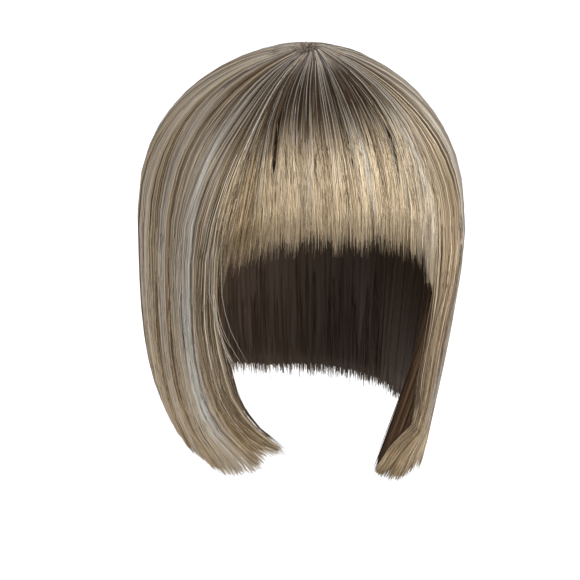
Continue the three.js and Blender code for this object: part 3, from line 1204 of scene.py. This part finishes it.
@dataclass(frozen=True)
class HairTone:
    """Colours of the hair from root to tip, with its pale streaks and its shaded depth."""

    root: Colour = linear(118, 107, 106)
    band: Colour = linear(106, 92, 76)
    length: Colour = linear(158, 140, 115)
    tip: Colour = linear(178, 154, 125)
    pale: Colour = linear(194, 193, 187)
    gold: Colour = linear(217, 201, 173)
    # Dark brown of the darker strands, which painted shade also mixes in
    deep: Colour = linear(50, 35, 23)
    olive: Colour = linear(158, 133, 92)
    mauve: Colour = linear(160, 147, 142)

    def node(self, kit: NodeKit, traits: Sequence[str]) -> bpy.types.Node:
        """Adds a hair colour node with these colours.

        Args:
            kit: Kit of the material's tree.
            traits: Inputs that take the number of that name from the mesh.

        Returns:
            The node.
        """
        colour = kit.group(Groups.hair_colour())
        for title, value in vars(self).items():
            kit.feed(colour.inputs[title.title()], value)
        for title in traits:
            kit.feed(colour.inputs[title], kit.attribute(title.lower()))
        return colour


@dataclass(frozen=True)
class StrandFinish:
    """Satin fibre for the loose strands."""

    name: str = "satin_fibre"
    tone: HairTone = HairTone()
    specular: float = 0.2
    satin: float = 0.3

    def material(self) -> bpy.types.Material:
        """Builds the material."""
        made, kit, shader = blank_material(self.name)
        colour = self.tone.node(kit, ("Tint", "Run", "Streak", "Shade", "Hue"))
        kit.feed(shader.inputs["Base Color"], colour.outputs["Color"])
        kit.feed(shader.inputs["Roughness"], colour.outputs["Gloss"])
        # Less metallic gloss where shade is painted
        kit.feed(shader.inputs["Metallic"], kit.math("MULTIPLY", colour.outputs["Lit"], self.satin))
        shader.inputs["Specular IOR Level"].default_value = self.specular
        return made


@dataclass(frozen=True)
class BedFinish:
    """Massed fibre of the beds under the loose strands, with fine lines along the hair."""

    name: str = "massed_fibre"
    tone: HairTone = HairTone()
    relief: float = 0.35 * MM
    fineness: float = 1.0
    waver: float = 0.9
    specular: float = 0.15

    def material(self) -> bpy.types.Material:
        """Builds the material."""
        made, kit, shader = blank_material(self.name)
        lines = kit.group(Groups.fibre_streaks())
        kit.feed(lines.inputs["Fineness"], self.fineness)
        kit.feed(lines.inputs["Waver"], self.waver)
        colour = self.tone.node(kit, ("Run", "Streak", "Shade", "Hue"))
        kit.feed(colour.inputs["Tint"], lines.outputs["Tint"])
        bump = kit.add("ShaderNodeBump", Height=lines.outputs["Height"], Distance=self.relief, Strength=0.8)
        kit.feed(shader.inputs["Base Color"], colour.outputs["Color"])
        kit.feed(shader.inputs["Roughness"], colour.outputs["Gloss"])
        kit.feed(shader.inputs["Normal"], bump.outputs[0])
        shader.inputs["Specular IOR Level"].default_value = self.specular
        return made


@dataclass(frozen=True)
class NetFinish:
    """Dark stretch net of the cap."""

    name: str = "stretch_net"
    thread: Colour = linear(74, 62, 54)
    hollow: Colour = linear(30, 25, 22)
    cell: float = 2.2 * MM
    relief: float = 0.4 * MM

    def material(self) -> bpy.types.Material:
        """Builds the material."""
        made, kit, shader = blank_material(self.name)
        place = kit.add("ShaderNodeTexCoord")
        cells = kit.add("ShaderNodeTexVoronoi", Vector=place.outputs["Object"], Scale=1 / self.cell)
        cells.feature = "DISTANCE_TO_EDGE"
        thread = kit.between(cells.outputs["Distance"], 0.04, 0.2, 1.0, 0.0)
        wear = kit.add("ShaderNodeTexNoise", Vector=place.outputs["Object"], Scale=60.0, Detail=3.0)
        strong = kit.between(wear.outputs[0], 0.3, 0.7, 0.75, 1.0)
        colour = kit.mix(kit.math("MULTIPLY", thread, strong), self.hollow, self.thread)
        bump = kit.add("ShaderNodeBump", Height=thread, Distance=self.relief, Strength=0.7)
        kit.feed(shader.inputs["Base Color"], colour)
        kit.feed(shader.inputs["Roughness"], kit.between(wear.outputs[0], 0.3, 0.7, 0.85, 0.7))
        kit.feed(shader.inputs["Normal"], bump.outputs[0])
        return made


@dataclass(frozen=True)
class FloorFinish:
    """Plain pale paper of the floor."""

    name: str = "pale_paper"
    colour: Colour = (0.86, 0.87, 0.89)
    glow: float = 0.4

    def material(self) -> bpy.types.Material:
        """Builds the material."""
        made, kit, shader = blank_material(self.name)
        place = kit.add("ShaderNodeTexCoord")
        grain = kit.add("ShaderNodeTexNoise", Vector=place.outputs["Object"], Scale=2.0, Detail=2.0)
        shade = kit.between(grain.outputs[0], 0.3, 0.7, 0.985, 1.0)
        colour = kit.mix(shade, tuple(c * 0.97 for c in self.colour), self.colour)
        kit.feed(shader.inputs["Base Color"], colour)
        kit.feed(shader.inputs["Emission Color"], colour)
        shader.inputs["Emission Strength"].default_value = self.glow
        shader.inputs["Roughness"].default_value = 0.9
        return made


def dress(
    piece: bpy.types.Object, material: bpy.types.Material, replaces: Sequence[str] = ()
) -> None:
    """Gives a piece its material, hangs it on the body and hides the CAD nodes that it stands for.

    Args:
        piece: The piece.
        material: Its material.
        replaces: CAD nodes that it stands for.
    """
    piece.data.materials.append(material)
    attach(piece, BODY)
    if replaces:
        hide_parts(*replaces)
    LOG.info("%s: %d faces", piece.name, len(piece.data.polygons))


@dataclass
class HairBed:
    """Closed wall of massed hair that the loose strands lie on.

    Attributes:
        name: Name of the piece.
        node: CAD node that it stands for.
        span: Least and greatest angle.
        columns: Columns across it.
        rows: Rows down it, as shares of the way from its start to its end.
        start_radius: Radius round the whorl where it begins.
        sunk: Depth of its outer face below the outer form.
        hem_sunk: Depth added towards the cut.
        wall: Its thickness.
        tip_wall: Thickness at the cut.
        short: How far it ends before the cut.
        thin_edges: Whether its front edge is thinned, at the low and at the high angle.
        swept: Whether its front edge, at the high angle, sweeps with the outer strands.
        recess: Degrees by which that edge then lies behind theirs low down.
    """

    name: str
    node: str
    span: tuple[float, float]
    columns: int
    rows: Sequence[float]
    start_radius: float = 11 * MM
    sunk: float = 1.7 * MM
    hem_sunk: float = 1.0 * MM
    wall: float = 9 * MM
    tip_wall: float = 2 * MM
    short: float = 0.03
    thin_edges: tuple[bool, bool] = (False, False)
    swept: bool = False
    recess: float = 5.0

    def build(self, flow: Flow, end_of: Callable[[Array], Array]) -> bpy.types.Object:
        """Makes the wall.

        Args:
            flow: How the hair runs.
            end_of: Function from angles to the place where the hair is cut.

        Returns:
            The new object.
        """
        edge_share, thinned, wander = 0.2, 0.7, 0.006
        least_wall, least_gap = 1.2 * MM, 0.8 * MM
        across = np.linspace(0, 1, self.columns + 1)[:, None]
        down = np.array(self.rows, float)[None, :]
        own = self.span[0] + (self.span[1] - self.span[0]) * across
        end = end_of(own) - self.short + wander * flow.fine.at(own, 0.0)
        start = flow.shape.along_at_radius(own, self.start_radius)
        along = start + (end - start) * down
        angle = flow.bend(own + 0 * along, along, self.swept)
        if self.swept:
            angle = angle - self.recess * ramp(across, 0.6, 1.0) * ramp(along, 0.95, 1.3)
        near = np.zeros_like(angle)
        if self.thin_edges[0]:
            near = np.maximum(near, 1 - np.clip(across / edge_share, 0, 1))
        if self.thin_edges[1]:
            near = np.maximum(near, 1 - np.clip((1 - across) / edge_share, 0, 1))
        sunk = self.sunk + self.hem_sunk * down**2 + 0 * angle
        outer, _ = flow.place(own + 0 * along, angle, along, sunk)
        wall = self.wall * (1 - thinned * near)
        wall = wall + (self.tip_wall - wall) * down**3
        inner, _ = flow.place(own + 0 * along, angle, along, sunk + np.maximum(wall, least_wall))
        thin = np.linalg.norm(inner - outer, axis=-1) < least_gap
        inward, _ = flow.head.inwards(outer)
        outer = np.where(thin[..., None], inner - inward * least_gap, outer)
        return self._closed(flow, outer, inner, own + 0 * along, along)

    def _closed(self, flow: Flow, outer: Array, inner: Array, angle: Array, along: Array) -> bpy.types.Object:
        """Joins the outer and the inner grid at their rims.

        Args:
            flow: How the hair runs.
            outer: Points of the outer face.
            inner: Points of the inner face.
            angle: Angle of each grid point.
            along: Place along the hair of each grid point.

        Returns:
            The new object.
        """
        columns, rows = self.columns, len(self.rows) - 1
        shape = (columns + 1, rows + 1)
        front = np.arange(shape[0] * shape[1]).reshape(shape)
        rear = front + front.size
        low, high = front[:-1, :-1], front[1:, 1:]
        skin = np.stack([low, front[:-1, 1:], high, front[1:, :-1]], axis=-1).reshape(-1, 4)
        lining = (skin + front.size)[:, ::-1]
        rims = []
        edges = ((front[:, 0], False), (front[:, -1], True), (front[0, :], True), (front[-1, :], False))
        for edge, flip in edges:
            a, b = edge[:-1], edge[1:]
            strip = np.stack([a, b, b + front.size, a + front.size], axis=-1)
            rims.append(strip[:, ::-1] if flip else strip)
        quads = np.concatenate([skin, lining, *rims])
        points = np.concatenate([outer.reshape(-1, 3), inner.reshape(-1, 3)])
        across = np.broadcast_to(np.linspace(0, 1, columns + 1)[:, None], shape)
        down = np.broadcast_to(np.linspace(0, 1, rows + 1)[None, :], shape)
        half = np.stack([0.01 + across * 0.48, 0.02 + down * 0.96], axis=-1).reshape(-1, 2)
        chart = np.concatenate([half, half + [0.5, 0.0]])
        arc = np.radians(angle) * 100
        run = np.stack([arc, along * 1.5], axis=-1).reshape(-1, 2)
        flow_chart = np.concatenate([run, run + [333.0, 0.0]])
        inside = np.concatenate([np.zeros(front.size), np.ones(front.size)])
        none = np.zeros((0, 3), int)
        return Mesher(self.name).build(
            points,
            quads,
            none,
            (chart[quads], chart[none]),
            (flow_chart[quads], flow_chart[none]),
            {
                "run": twice(along / 2),
                "streak": twice(flow.streak(angle, along) * 0.6),
                "hue": twice(flow.band(angle)[2] + 0 * along),
                # Painted shade: the whole bed darker, as the shade under the loose strands, and its inner
                # face darker still, as the shade inside the wig
                "shade": np.clip(twice(0.45 + flow.shadow(angle, along)) + 0.6 * inside, 0, 0.97),
            },
        )


@dataclass(frozen=True)
class WallPlan:
    """How the strands of one wall of long hair are laid out.

    Attributes:
        pieces: Names of its pieces, with braces in place of the kind of piece.
        node: CAD node that it stands for.
        span: Least and greatest angle.
        seed: Seed of the draws of its long strands.
        fill_seed: Seed of the draws of the strands that fill the hem.
        locks: Its locks.
        counts: How many strands leave the whorl, and how many start lower down.
        widths: Radii of the two.
        fill_counts: How many strands fill the hem outside, and how many inside.
        fill_widths: Radii of the two.
        fill_spread: How unevenly the outer ones of these end.
        fill_depth: Greatest depth of the inner ones.
    """

    pieces: str
    node: str
    span: tuple[float, float]
    seed: int
    fill_seed: int
    locks: Locks
    counts: tuple[int, int]
    widths: tuple[float, float] = (0.26 * MM, 0.26 * MM)
    fill_counts: tuple[int, int] = (640, 400)
    fill_widths: tuple[float, float] = (0.2 * MM, 0.3 * MM)
    fill_spread: float = 0.03
    fill_depth: float = 5 * MM

    def long(self) -> tuple[StrandPlan, ...]:
        """Long strands from the whorl and from lower down, and a few pale ones on top."""
        return (
            StrandPlan(self.seed + 1, self.counts[0], self.span, width=self.widths[0]),
            StrandPlan(self.seed + 2, self.counts[1], self.span, (4, 11), width=self.widths[1]),
            StrandPlan(
                self.seed + 6, 24, self.span, None, (-0.3 * MM, 0.1 * MM), 0.22 * MM, pale_share=1.0,
                stray=0.25,
            ),
        )

    def filling(self) -> tuple[StrandPlan, ...]:
        """Short strands that fill the hem, outside and inside."""
        outer = 1.8 * MM
        return (
            StrandPlan(
                self.fill_seed, self.fill_counts[0], self.span, (14, 16), (0.0, outer), self.fill_widths[0],
                end_spread=self.fill_spread,
            ),
            StrandPlan(
                self.fill_seed + 1, self.fill_counts[1], self.span, (14, 17), (outer, self.fill_depth),
                self.fill_widths[1], end_spread=0.04,
            ),
        )


@dataclass
class Hairdo:
    """All the hair: fringe, sides and back, each a bed with its loose strands."""

    flow: Flow
    right_edge: float = -44.0
    left_edge: float = 38.0
    side_end: float = 126.0
    strand: StrandFinish = StrandFinish()
    under: StrandFinish = StrandFinish("shaded_fibre", specular=0.03, satin=0.0)
    bed: BedFinish = BedFinish()
    fine_locks: Locks = field(default_factory=lambda: Locks(9, 2.0, 5.0))
    strand_material: bpy.types.Material = field(init=False)
    under_material: bpy.types.Material = field(init=False)
    bed_material: bpy.types.Material = field(init=False)

    # Rows of the strands and beds, as shares of the way from the whorl's collar to the cut
    LONG_ROWS = (
        0, 0.035, 0.07, 0.11, 0.145, 0.18, 0.215, 0.25, 0.285, 0.32, 0.36, 0.4, 0.455, 0.53, 0.61, 0.69, 0.77,
        0.84, 0.9, 0.95, 1
    )
    FRINGE_ROWS = (0, 0.1, 0.2, 0.3, 0.4, 0.5, 0.6, 0.7, 0.8, 0.9, 1)
    # How far the loose tips hang past the hem: degrees from the front, and place along the hair added
    TIPS = (
        (-95, 0), (-84, 0.02), (-75, 0.045), (-66, 0.07), (-60, 0.06), (-54, 0.02), (-47, -0.02),
        (-43, -0.05), (-38, -0.05), (0, 0), (38, 0), (46, 0.03), (53, 0.055), (60, 0.045), (70, 0.02),
        (84, 0),
    )

    def hem(self, angle: Array) -> Array:
        """Place along the hair of the hem of the walls."""
        return 2.0 + 0.0 * angle

    def under_end(self, angle: Array) -> Array:
        """Place along the hair where the shaded strands behind the near front edge end."""
        return self.hem(angle) - 0.28

    def tips(self, angle: Array) -> Array:
        """Place along the hair where the loose strands end."""
        return self.hem(angle) + column(self.TIPS, 1, angle)

    def build(self) -> None:
        """Makes every hair piece."""
        self.strand_material = self.strand.material()
        self.under_material = self.under.material()
        self.bed_material = self.bed.material()
        self.fringe()
        self.side("right", (-self.side_end, self.right_edge), 400)
        self.side("left", (self.left_edge, self.side_end), 500)
        self.back()
        self.loose_layer()
        self.flyaways()

    def strands(
        self,
        name: str,
        node: str,
        plans: Sequence[StrandPlan],
        locks: Locks,
        rows: Sequence[float],
        end_of: Callable[[Array], Array],
        is_shaded: bool = False,
    ) -> None:
        """Grows batches of strands into one piece.

        Args:
            name: Name of the piece.
            node: CAD node that it stands for.
            plans: The batches.
            locks: The locks that they join.
            rows: Rows that the strands share.
            end_of: Function from angles to the place where the hair is cut.
            is_shaded: Whether the strands lie in the shade of the outer ones.
        """
        grown = [batch for plan in plans for batch in plan.grow(self.flow, locks, rows, end_of)]
        material = self.under_material if is_shaded else self.strand_material
        dress(Tubes(name).build(grown), material, [node])

    def fringe(self) -> None:
        """The full fringe, its loose strands and its wispy tips."""
        end_of = self.flow.shape.fringe_end
        rows = self.FRINGE_ROWS
        bed = HairBed(
            "fringe_bed", "fringe", (self.right_edge, self.left_edge), 200, rows,
            wall=5 * MM, tip_wall=0.8 * MM, short=0.15, hem_sunk=0.8 * MM,
        )
        dress(bed.build(self.flow, end_of), self.bed_material, [bed.node])
        span = (self.right_edge - 3, self.left_edge + 3)
        plans = (
            StrandPlan(100, 1250, span, width=0.21 * MM, end_spread=0.06, blunt=0.25, past=0.07),
            StrandPlan(
                101, 750, span, (2, 5), (0.0, 1.2 * MM), 0.22 * MM, end_spread=0.05, blunt=0.25, past=0.04
            ),
            StrandPlan(
                102, 2000, span, (6, 8), (0.1 * MM, 1.3 * MM), 0.15 * MM, end_spread=0.085, stray=0.55,
                blunt=0.15, past=0.09,
            ),
            StrandPlan(
                103, 28, span, None, (-0.3 * MM, 0.1 * MM), 0.2 * MM, end_spread=0.03, pale_share=1.0,
                stray=0.25,
            ),
        )
        self.strands("fringe_strands", "fringe", plans, Locks(21, 1.0, 2.8), rows, end_of)

    def side(self, side: str, span: tuple[float, float], seed: int) -> None:
        """One side: bed, long strands and the strands that fill its edge and hem.

        Args:
            side: "left" or "right", of the wearer.
            span: Least and greatest angle.
            seed: Seed of its draws.
        """
        is_right = side == "right"
        counts = (850, 750) if is_right else (680, 600)
        plan = WallPlan(
            f"side_{{}}_{side}", f"side_hair_{side}", span, seed, seed + 4, Locks(seed, 1.8, 5.0), counts
        )
        bed = HairBed(
            plan.pieces.format("bed"), plan.node, span, 170, self.LONG_ROWS,
            thin_edges=(not is_right, is_right), swept=is_right,
        )
        edge = (span[1] - 8, span[1] + 0.5) if is_right else (span[0] - 1, span[0] + 14)
        shaded = StrandPlan(
            seed + 3, 300, edge, (11, 13), (1.5 * MM, 5 * MM), 0.26 * MM, end_spread=0.04, stray=0.7,
            shade=0.55, outer=is_right, contrast=1.3,
        )
        self.wall(plan, bed, shaded, self.under_end if is_right else self.hem)

    def back(self) -> None:
        """The back: bed, long strands and the strands that fill its hem."""
        span = (self.side_end, 360 - self.side_end)
        plan = WallPlan(
            "back_{}", "back_hair", span, 700, 703, Locks(77, 1.8, 5.0), (750, 650), (0.29 * MM, 0.28 * MM),
            (600, 400), (0.22 * MM, 0.32 * MM), 0.035, 9 * MM,
        )
        self.wall(plan, HairBed(plan.pieces.format("bed"), plan.node, span, 190, self.LONG_ROWS))

    def wall(
        self,
        plan: WallPlan,
        bed: HairBed,
        shaded: StrandPlan | None = None,
        shaded_end: Callable[[Array], Array] | None = None,
    ) -> None:
        """Makes the pieces of a wall of long hair.

        Args:
            plan: Its strands.
            bed: Its bed.
            shaded: Strands in the shade behind its front edge, if it has one.
            shaded_end: Function from angles to the place where these end.
        """
        rows = self.LONG_ROWS
        dress(bed.build(self.flow, self.hem), self.bed_material, [plan.node])
        self.strands(plan.pieces.format("strands"), plan.node, plan.long(), plan.locks, rows, self.tips)
        if shaded is not None:
            under = plan.pieces.format("under")
            self.strands(under, plan.node, [shaded], plan.locks, rows, shaded_end, is_shaded=True)
        self.strands(plan.pieces.format("tips"), plan.node, plan.filling(), plan.locks, rows, self.tips)

    @staticmethod
    def scatter(angle: Array) -> Array:
        """A number from 0 to 1 that differs from one strand to the next."""
        turns_apart = 913.7
        return 0.5 + 0.5 * np.sin(angle * turns_apart)

    def loose_end(self, angle: Array) -> Array:
        """Place along the hair where the fine crossing strands of the walls end."""
        return 1.15 + 0.87 * self.scatter(angle)

    def brow_end(self, angle: Array) -> Array:
        """The same on the fringe."""
        return self.flow.shape.fringe_end(angle) * (0.72 + 0.3 * self.scatter(angle))

    def crossing_end(self, angle: Array) -> Array:
        """Place along the hair where the pale strands over the near front edge end."""
        return 1.45 + 0 * angle

    def loose_layer(self) -> None:
        """Fine short strands that cross the long ones, on the sides, the back and the fringe."""
        right = (-self.side_end, self.right_edge - 2)
        left = (self.left_edge + 4, self.side_end)
        back = (self.side_end, 360 - self.side_end)
        fringe = (self.right_edge, self.left_edge)
        for seed, name, node, count, span, end_of in (
            (611, "side_loose_right", "side_hair_right", 1500, right, self.loose_end),
            (612, "side_loose_left", "side_hair_left", 1500, left, self.loose_end),
            (613, "back_loose", "back_hair", 1400, back, self.loose_end),
            (614, "fringe_loose", "fringe", 1200, fringe, self.brow_end),
        ):
            plan = StrandPlan(
                seed, count, span, (2, 3), (-0.3 * MM, 0.3 * MM), 0.15 * MM, end_spread=0.03, clump=0.0,
                stray=1.1, contrast=1.35, blunt=0.2,
            )
            self.strands(name, node, [plan], self.fine_locks, (0, 0.7, 0.8, 0.9, 1), end_of)

    def flyaways(self) -> None:
        """A few fine strands that stand off the fringe, the front edges and the outline."""
        wisp = 0.11 * MM
        locks = self.fine_locks
        brow = StrandPlan(
            801, 260, (self.right_edge, self.left_edge), (5, 8), (0.0, 1.0 * MM), wisp, end_spread=0.055,
            clump=0.2, stray=1.2, lift=3 * MM, past=0.09, blunt=0.2,
        )
        fringe_end = self.flow.shape.fringe_end
        self.strands("fringe_wisps", "fringe", [brow], locks, self.FRINGE_ROWS, fringe_end)
        crossing = StrandPlan(
            830, 9, (self.right_edge - 5, self.right_edge - 1), (11, 13), (-0.6 * MM, 0.1 * MM), wisp,
            end_spread=0.1, clump=0.0, stray=1.2, lift=2 * MM, pale_share=1.0, past=0.15, drift=10.0,
            blunt=0.5, pale_kept=1.0,
        )
        rows = self.LONG_ROWS
        self.strands("crossing_wisps", "side_hair_right", [crossing], locks, rows, self.crossing_end)
        for side, front, away in (("right", self.right_edge, -5), ("left", self.left_edge, 8)):
            edge = tuple(sorted((front, front + away)))
            ends = StrandPlan(
                820 + away, 90, edge, (11, 15), (0.0, 2 * MM), wisp, end_spread=0.2, clump=0.2, stray=2.4,
                lift=2.5 * MM, shade=0.15,
            )
            self.strands(f"side_wisps_{side}", f"side_hair_{side}", [ends], locks, rows, self.tips)


@dataclass
class PoleGrid:
    """Closed shell round a pole, between an outer and an inner grid of points."""

    name: str
    columns: int
    rows: int

    def build(self, outer: Array, inner: Array, values: dict[str, Array]) -> bpy.types.Object:
        """Makes the shell.

        Args:
            outer: Outer points, (columns, rows + 1, 3), whose first row is the pole.
            inner: Inner points, the same way.
            values: Numbers kept at each point, for the outer and then the inner points.

        Returns:
            The new object.
        """
        columns, rows = self.columns, self.rows
        index = np.arange(columns * (rows + 1)).reshape(columns, rows + 1)
        after = np.roll(index, -1, axis=0)
        skin = np.stack([index[:, :-1], index[:, 1:], after[:, 1:], after[:, :-1]], axis=-1).reshape(-1, 4)
        lining = (skin + index.size)[:, ::-1]
        rim = np.stack(
            [index[:, -1], index[:, -1] + index.size, after[:, -1] + index.size, after[:, -1]], axis=-1
        )
        quads = np.concatenate([skin, lining, rim])
        points = np.concatenate([outer.reshape(-1, 3), inner.reshape(-1, 3)])
        turn = np.radians(np.arange(columns) * 360 / columns)[:, None]
        share = np.linspace(0, 1, rows + 1)[None, :]
        disc = 0.25 + 0.24 * np.stack([share * np.sin(turn), share * np.cos(turn)], axis=-1).reshape(-1, 2)
        chart = np.concatenate([disc, disc + [0.5, 0.0]])
        none = np.zeros((0, 3), int)
        made = Mesher(self.name).build(points, quads, none, (chart[quads], chart[none]), None, values)
        self._weld(made)
        return made

    @staticmethod
    def _weld(made: bpy.types.Object) -> None:
        """Joins the points that meet at the pole."""
        cleaned = bmesh.new()
        cleaned.from_mesh(made.data)
        bmesh.ops.remove_doubles(cleaned, verts=cleaned.verts, dist=1e-7)
        cleaned.to_mesh(made.data)
        cleaned.free()


@dataclass
class NetCap:
    """The stretch cap: a thin shell with a thicker band along its edge."""

    head: HeadForm
    wall: float = 1.4 * MM
    band_rise: float = 0.9 * MM
    band_share: float = 0.07
    columns: int = 96
    rows: int = 40
    finish: NetFinish = NetFinish()

    # Cap edge: degrees from the front, and depth as a share of the nape's depth
    EDGE = (
        (0, 0.45), (18, 0.46), (35, 0.5), (48, 0.61), (62, 0.72), (90, 0.74), (125, 0.9), (150, 0.97),
        (180, 1),
    )

    def build(self) -> None:
        """Makes the cap and dresses it."""
        nape = -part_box("wig_cap")[0].z
        angle = np.arange(self.columns)[:, None] * 360 / self.columns
        share = np.linspace(0, 1, self.rows + 1)[None, :]
        folded = np.abs((angle + 540) % 360 - 180)
        depth = nape * column(self.EDGE, 1, folded) * share**1.6
        outer = self._surface(angle, depth, 0.0)
        band = self.band_rise * ramp(share, 1 - self.band_share * 1.3, 1 - self.band_share) + 0 * angle
        inner = self._surface(angle, depth, -self.wall - band)
        piece = PoleGrid("wig_cap_net", self.columns, self.rows).build(outer, inner, {})
        dress(piece, self.finish.material(), ["wig_cap"])

    def _surface(self, angle: Array, depth: Array, grown: Array) -> Array:
        """Points of the cap's surface grown or shrunk by a distance.

        Args:
            angle: Degrees from the front.
            depth: Depth below the crown seat.
            grown: How far the surface is moved out.

        Returns:
            The points.
        """
        head = self.head
        rise = np.clip((head.crown_height - depth) / head.crown_height, 0, 1)
        plan = (1 - rise**head.fullness) ** (1 / head.fullness)
        turn = np.radians(angle)
        x = (head.half_breadth + grown) * plan * np.sin(turn)
        y = -(head.half_length + grown) * plan * np.cos(turn)
        z = (head.top + grown) * rise - depth + 0 * turn
        return np.stack([x, y, z], axis=-1)


@dataclass
class CrownSwirl:
    """The whorl at the crown: a dimpled patch that short strands twist out of."""

    flow: Flow
    radius: float = 13 * MM
    sunk: float = 1.4 * MM
    thickness: float = 2.5 * MM
    columns: int = 120
    rows: int = 14
    short_strands: int = 420
    short_reach: float = 22 * MM

    def short_end(self, angle: Array) -> Array:
        """Place along the hair where its strands end."""
        return self.flow.shape.along_at_radius(angle, self.short_reach)

    def build(self, material: bpy.types.Material) -> None:
        """Makes the patch and its strands.

        Args:
            material: Material of both.
        """
        angle = np.arange(self.columns)[:, None] * 360.0 / self.columns
        share = np.linspace(0, 1, self.rows + 1)[None, :]
        along = self.flow.shape.along_at_radius(angle + 0 * share, self.radius * share)
        top, _ = self.flow.place(angle, angle, along, self.sunk + 0 * along)
        under, _ = self.flow.place(angle, angle, along, self.sunk + self.thickness + 0 * along)
        fibre = 0.5 + 0.5 * np.sin(np.radians(angle) * 40 + share * 2.4)
        values = {
            "run": twice(along / 2),
            "streak": twice(0.3 * fibre * share),
            # Painted shade, darkest at the whorl's middle and lighter outwards
            "shade": twice(0.5 - 0.4 * share + 0 * angle),
            "tint": twice(fibre - 0.5 + 0 * share),
        }
        piece = PoleGrid("crown_swirl", self.columns, self.rows).build(top, under, values)
        dress(piece, material, ["crown_whorl"])
        short = StrandPlan(
            900, self.short_strands, (-180, 180), None, (0.0, 1.2 * MM), 0.2 * MM, end_spread=0.015,
            clump=0.0, stray=0.5, lift=1.2 * MM, root_radii=(1.5 * MM, 5 * MM), collar=6 * MM, past=0.05,
        )
        grown = short.grow(self.flow, Locks(31, 3, 8), (0, 0.3, 0.6, 1), self.short_end)
        dress(Tubes("crown_short_strands").build(grown), material, ["crown_whorl"])


@dataclass
class Studio:
    """Camera at the photograph's angle, soft lights and a plain pale floor.

    Attributes:
        azimuth: Turn of the camera round the origin, in degrees.
        elevation: Its height above the horizon.
        distance: From the origin.
        origin_pixel: Where the origin lies in the picture, in pixels from the top left.
        scale: Pixels to the millimetre at the origin.
        picture: Width and height of the picture.
        sensor: Width of the camera's sensor, in millimetres.
        floor_drop: From the lowest tips down to the floor.
        floor_half: Half the floor's width.
        surround: Colour of the light from all round.
        surround_strength: Its strength.
    """

    azimuth: float = -14.5
    elevation: float = 19.5
    distance: float = 1.5
    origin_pixel: tuple[float, float] = (309.1, 72.0)
    scale: float = 1.652
    picture: int = 580
    sensor: float = 36.0
    floor_drop: float = 0.12
    floor_half: float = 8.0
    surround: Colour = (1.0, 0.985, 0.965)
    surround_strength: float = 0.38

    def build(self) -> None:
        """Makes the camera, the lights and the floor."""
        self.camera()
        self.lights()
        self.floor()

    def direction(self, azimuth: float, elevation: float) -> Vector:
        """Unit direction from the origin towards a place round it."""
        a, e = math.radians(azimuth), math.radians(elevation)
        return Vector((math.sin(a) * math.cos(e), -math.cos(a) * math.cos(e), math.sin(e)))

    def camera(self) -> None:
        """Puts the camera where the photograph was taken from."""
        back = self.direction(self.azimuth, self.elevation)
        a = math.radians(self.azimuth)
        right = Vector((math.cos(a), math.sin(a), 0))
        up = back.cross(right)
        millimetre = MM / self.scale
        middle = self.picture / 2
        target = right * (middle - self.origin_pixel[0]) * millimetre
        target = target - up * (middle - self.origin_pixel[1]) * millimetre
        place = back * self.distance
        data = bpy.data.cameras.new("camera")
        data.sensor_width = self.sensor
        data.lens = self.scale * self.distance / MM / self.picture * self.sensor
        data.clip_start, data.clip_end = 0.05, 60
        made = bpy.data.objects.new("camera", data)
        made.location = place
        made.rotation_mode = "QUATERNION"
        made.rotation_quaternion = (target - place).to_track_quat("-Z", "Y")
        bpy.context.scene.collection.objects.link(made)
        bpy.context.scene.camera = made

    def lamp(
        self, name: str, azimuth: float, elevation: float, away: float, size: float, power: float
    ) -> None:
        """Adds one soft lamp that faces the hair.

        Args:
            name: Name of the lamp.
            azimuth: Where it stands round the origin.
            elevation: Its height above the horizon.
            away: Distance from the origin.
            size: Side of its square face.
            power: Power in watts.
        """
        data = bpy.data.lights.new(name, "AREA")
        data.shape = "SQUARE"
        data.size = size
        data.energy = power
        made = bpy.data.objects.new(name, data)
        aim = Vector((0, 0, -0.1))
        made.location = aim + self.direction(azimuth, elevation) * away
        made.rotation_mode = "QUATERNION"
        made.rotation_quaternion = (aim - made.location).to_track_quat("-Z", "Y")
        bpy.context.scene.collection.objects.link(made)

    def lights(self) -> None:
        """Soft key from the front and above, fills at both sides, and a pale surround."""
        self.lamp("key", 14, 44, 1.6, 0.8, 21)
        self.lamp("front_fill", 14, 2, 1.9, 1.0, 36)
        self.lamp("fill_right", -85, 22, 1.8, 1.2, 8)
        self.lamp("fill_left", 85, 22, 1.8, 1.2, 4)
        self.lamp("back_light", 180, 40, 1.8, 1.2, 10)
        world = bpy.data.worlds.new("surround")
        world.use_nodes = True
        background = world.node_tree.nodes["Background"]
        background.inputs["Color"].default_value = (*self.surround, 1.0)
        background.inputs["Strength"].default_value = self.surround_strength
        bpy.context.scene.world = world
        bpy.context.scene.view_settings.view_transform = "Standard"

    def floor(self) -> None:
        """A wide flat floor below the tips."""
        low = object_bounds()[0].z - self.floor_drop
        half = self.floor_half
        mesh = bpy.data.meshes.new("floor")
        corners = [(-half, -half, low), (half, -half, low), (half, half, low), (-half, half, low)]
        mesh.from_pydata(corners, [], [(0, 1, 2, 3)])
        made = bpy.data.objects.new("floor", mesh)
        made.data.materials.append(FloorFinish().material())
        bpy.context.scene.collection.objects.link(made)
        made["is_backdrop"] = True


def main() -> None:
    """Builds the wig's pieces and the studio."""
    logging.basicConfig(level=logging.INFO, format="%(message)s")
    flow = Flow(HairShape.from_frame(), HeadForm.from_frame())
    hairdo = Hairdo(flow)
    hairdo.build()
    CrownSwirl(flow).build(hairdo.strand_material)
    NetCap(flow.head).build()
    Studio().build()


if __name__ == "__main__":
    main()
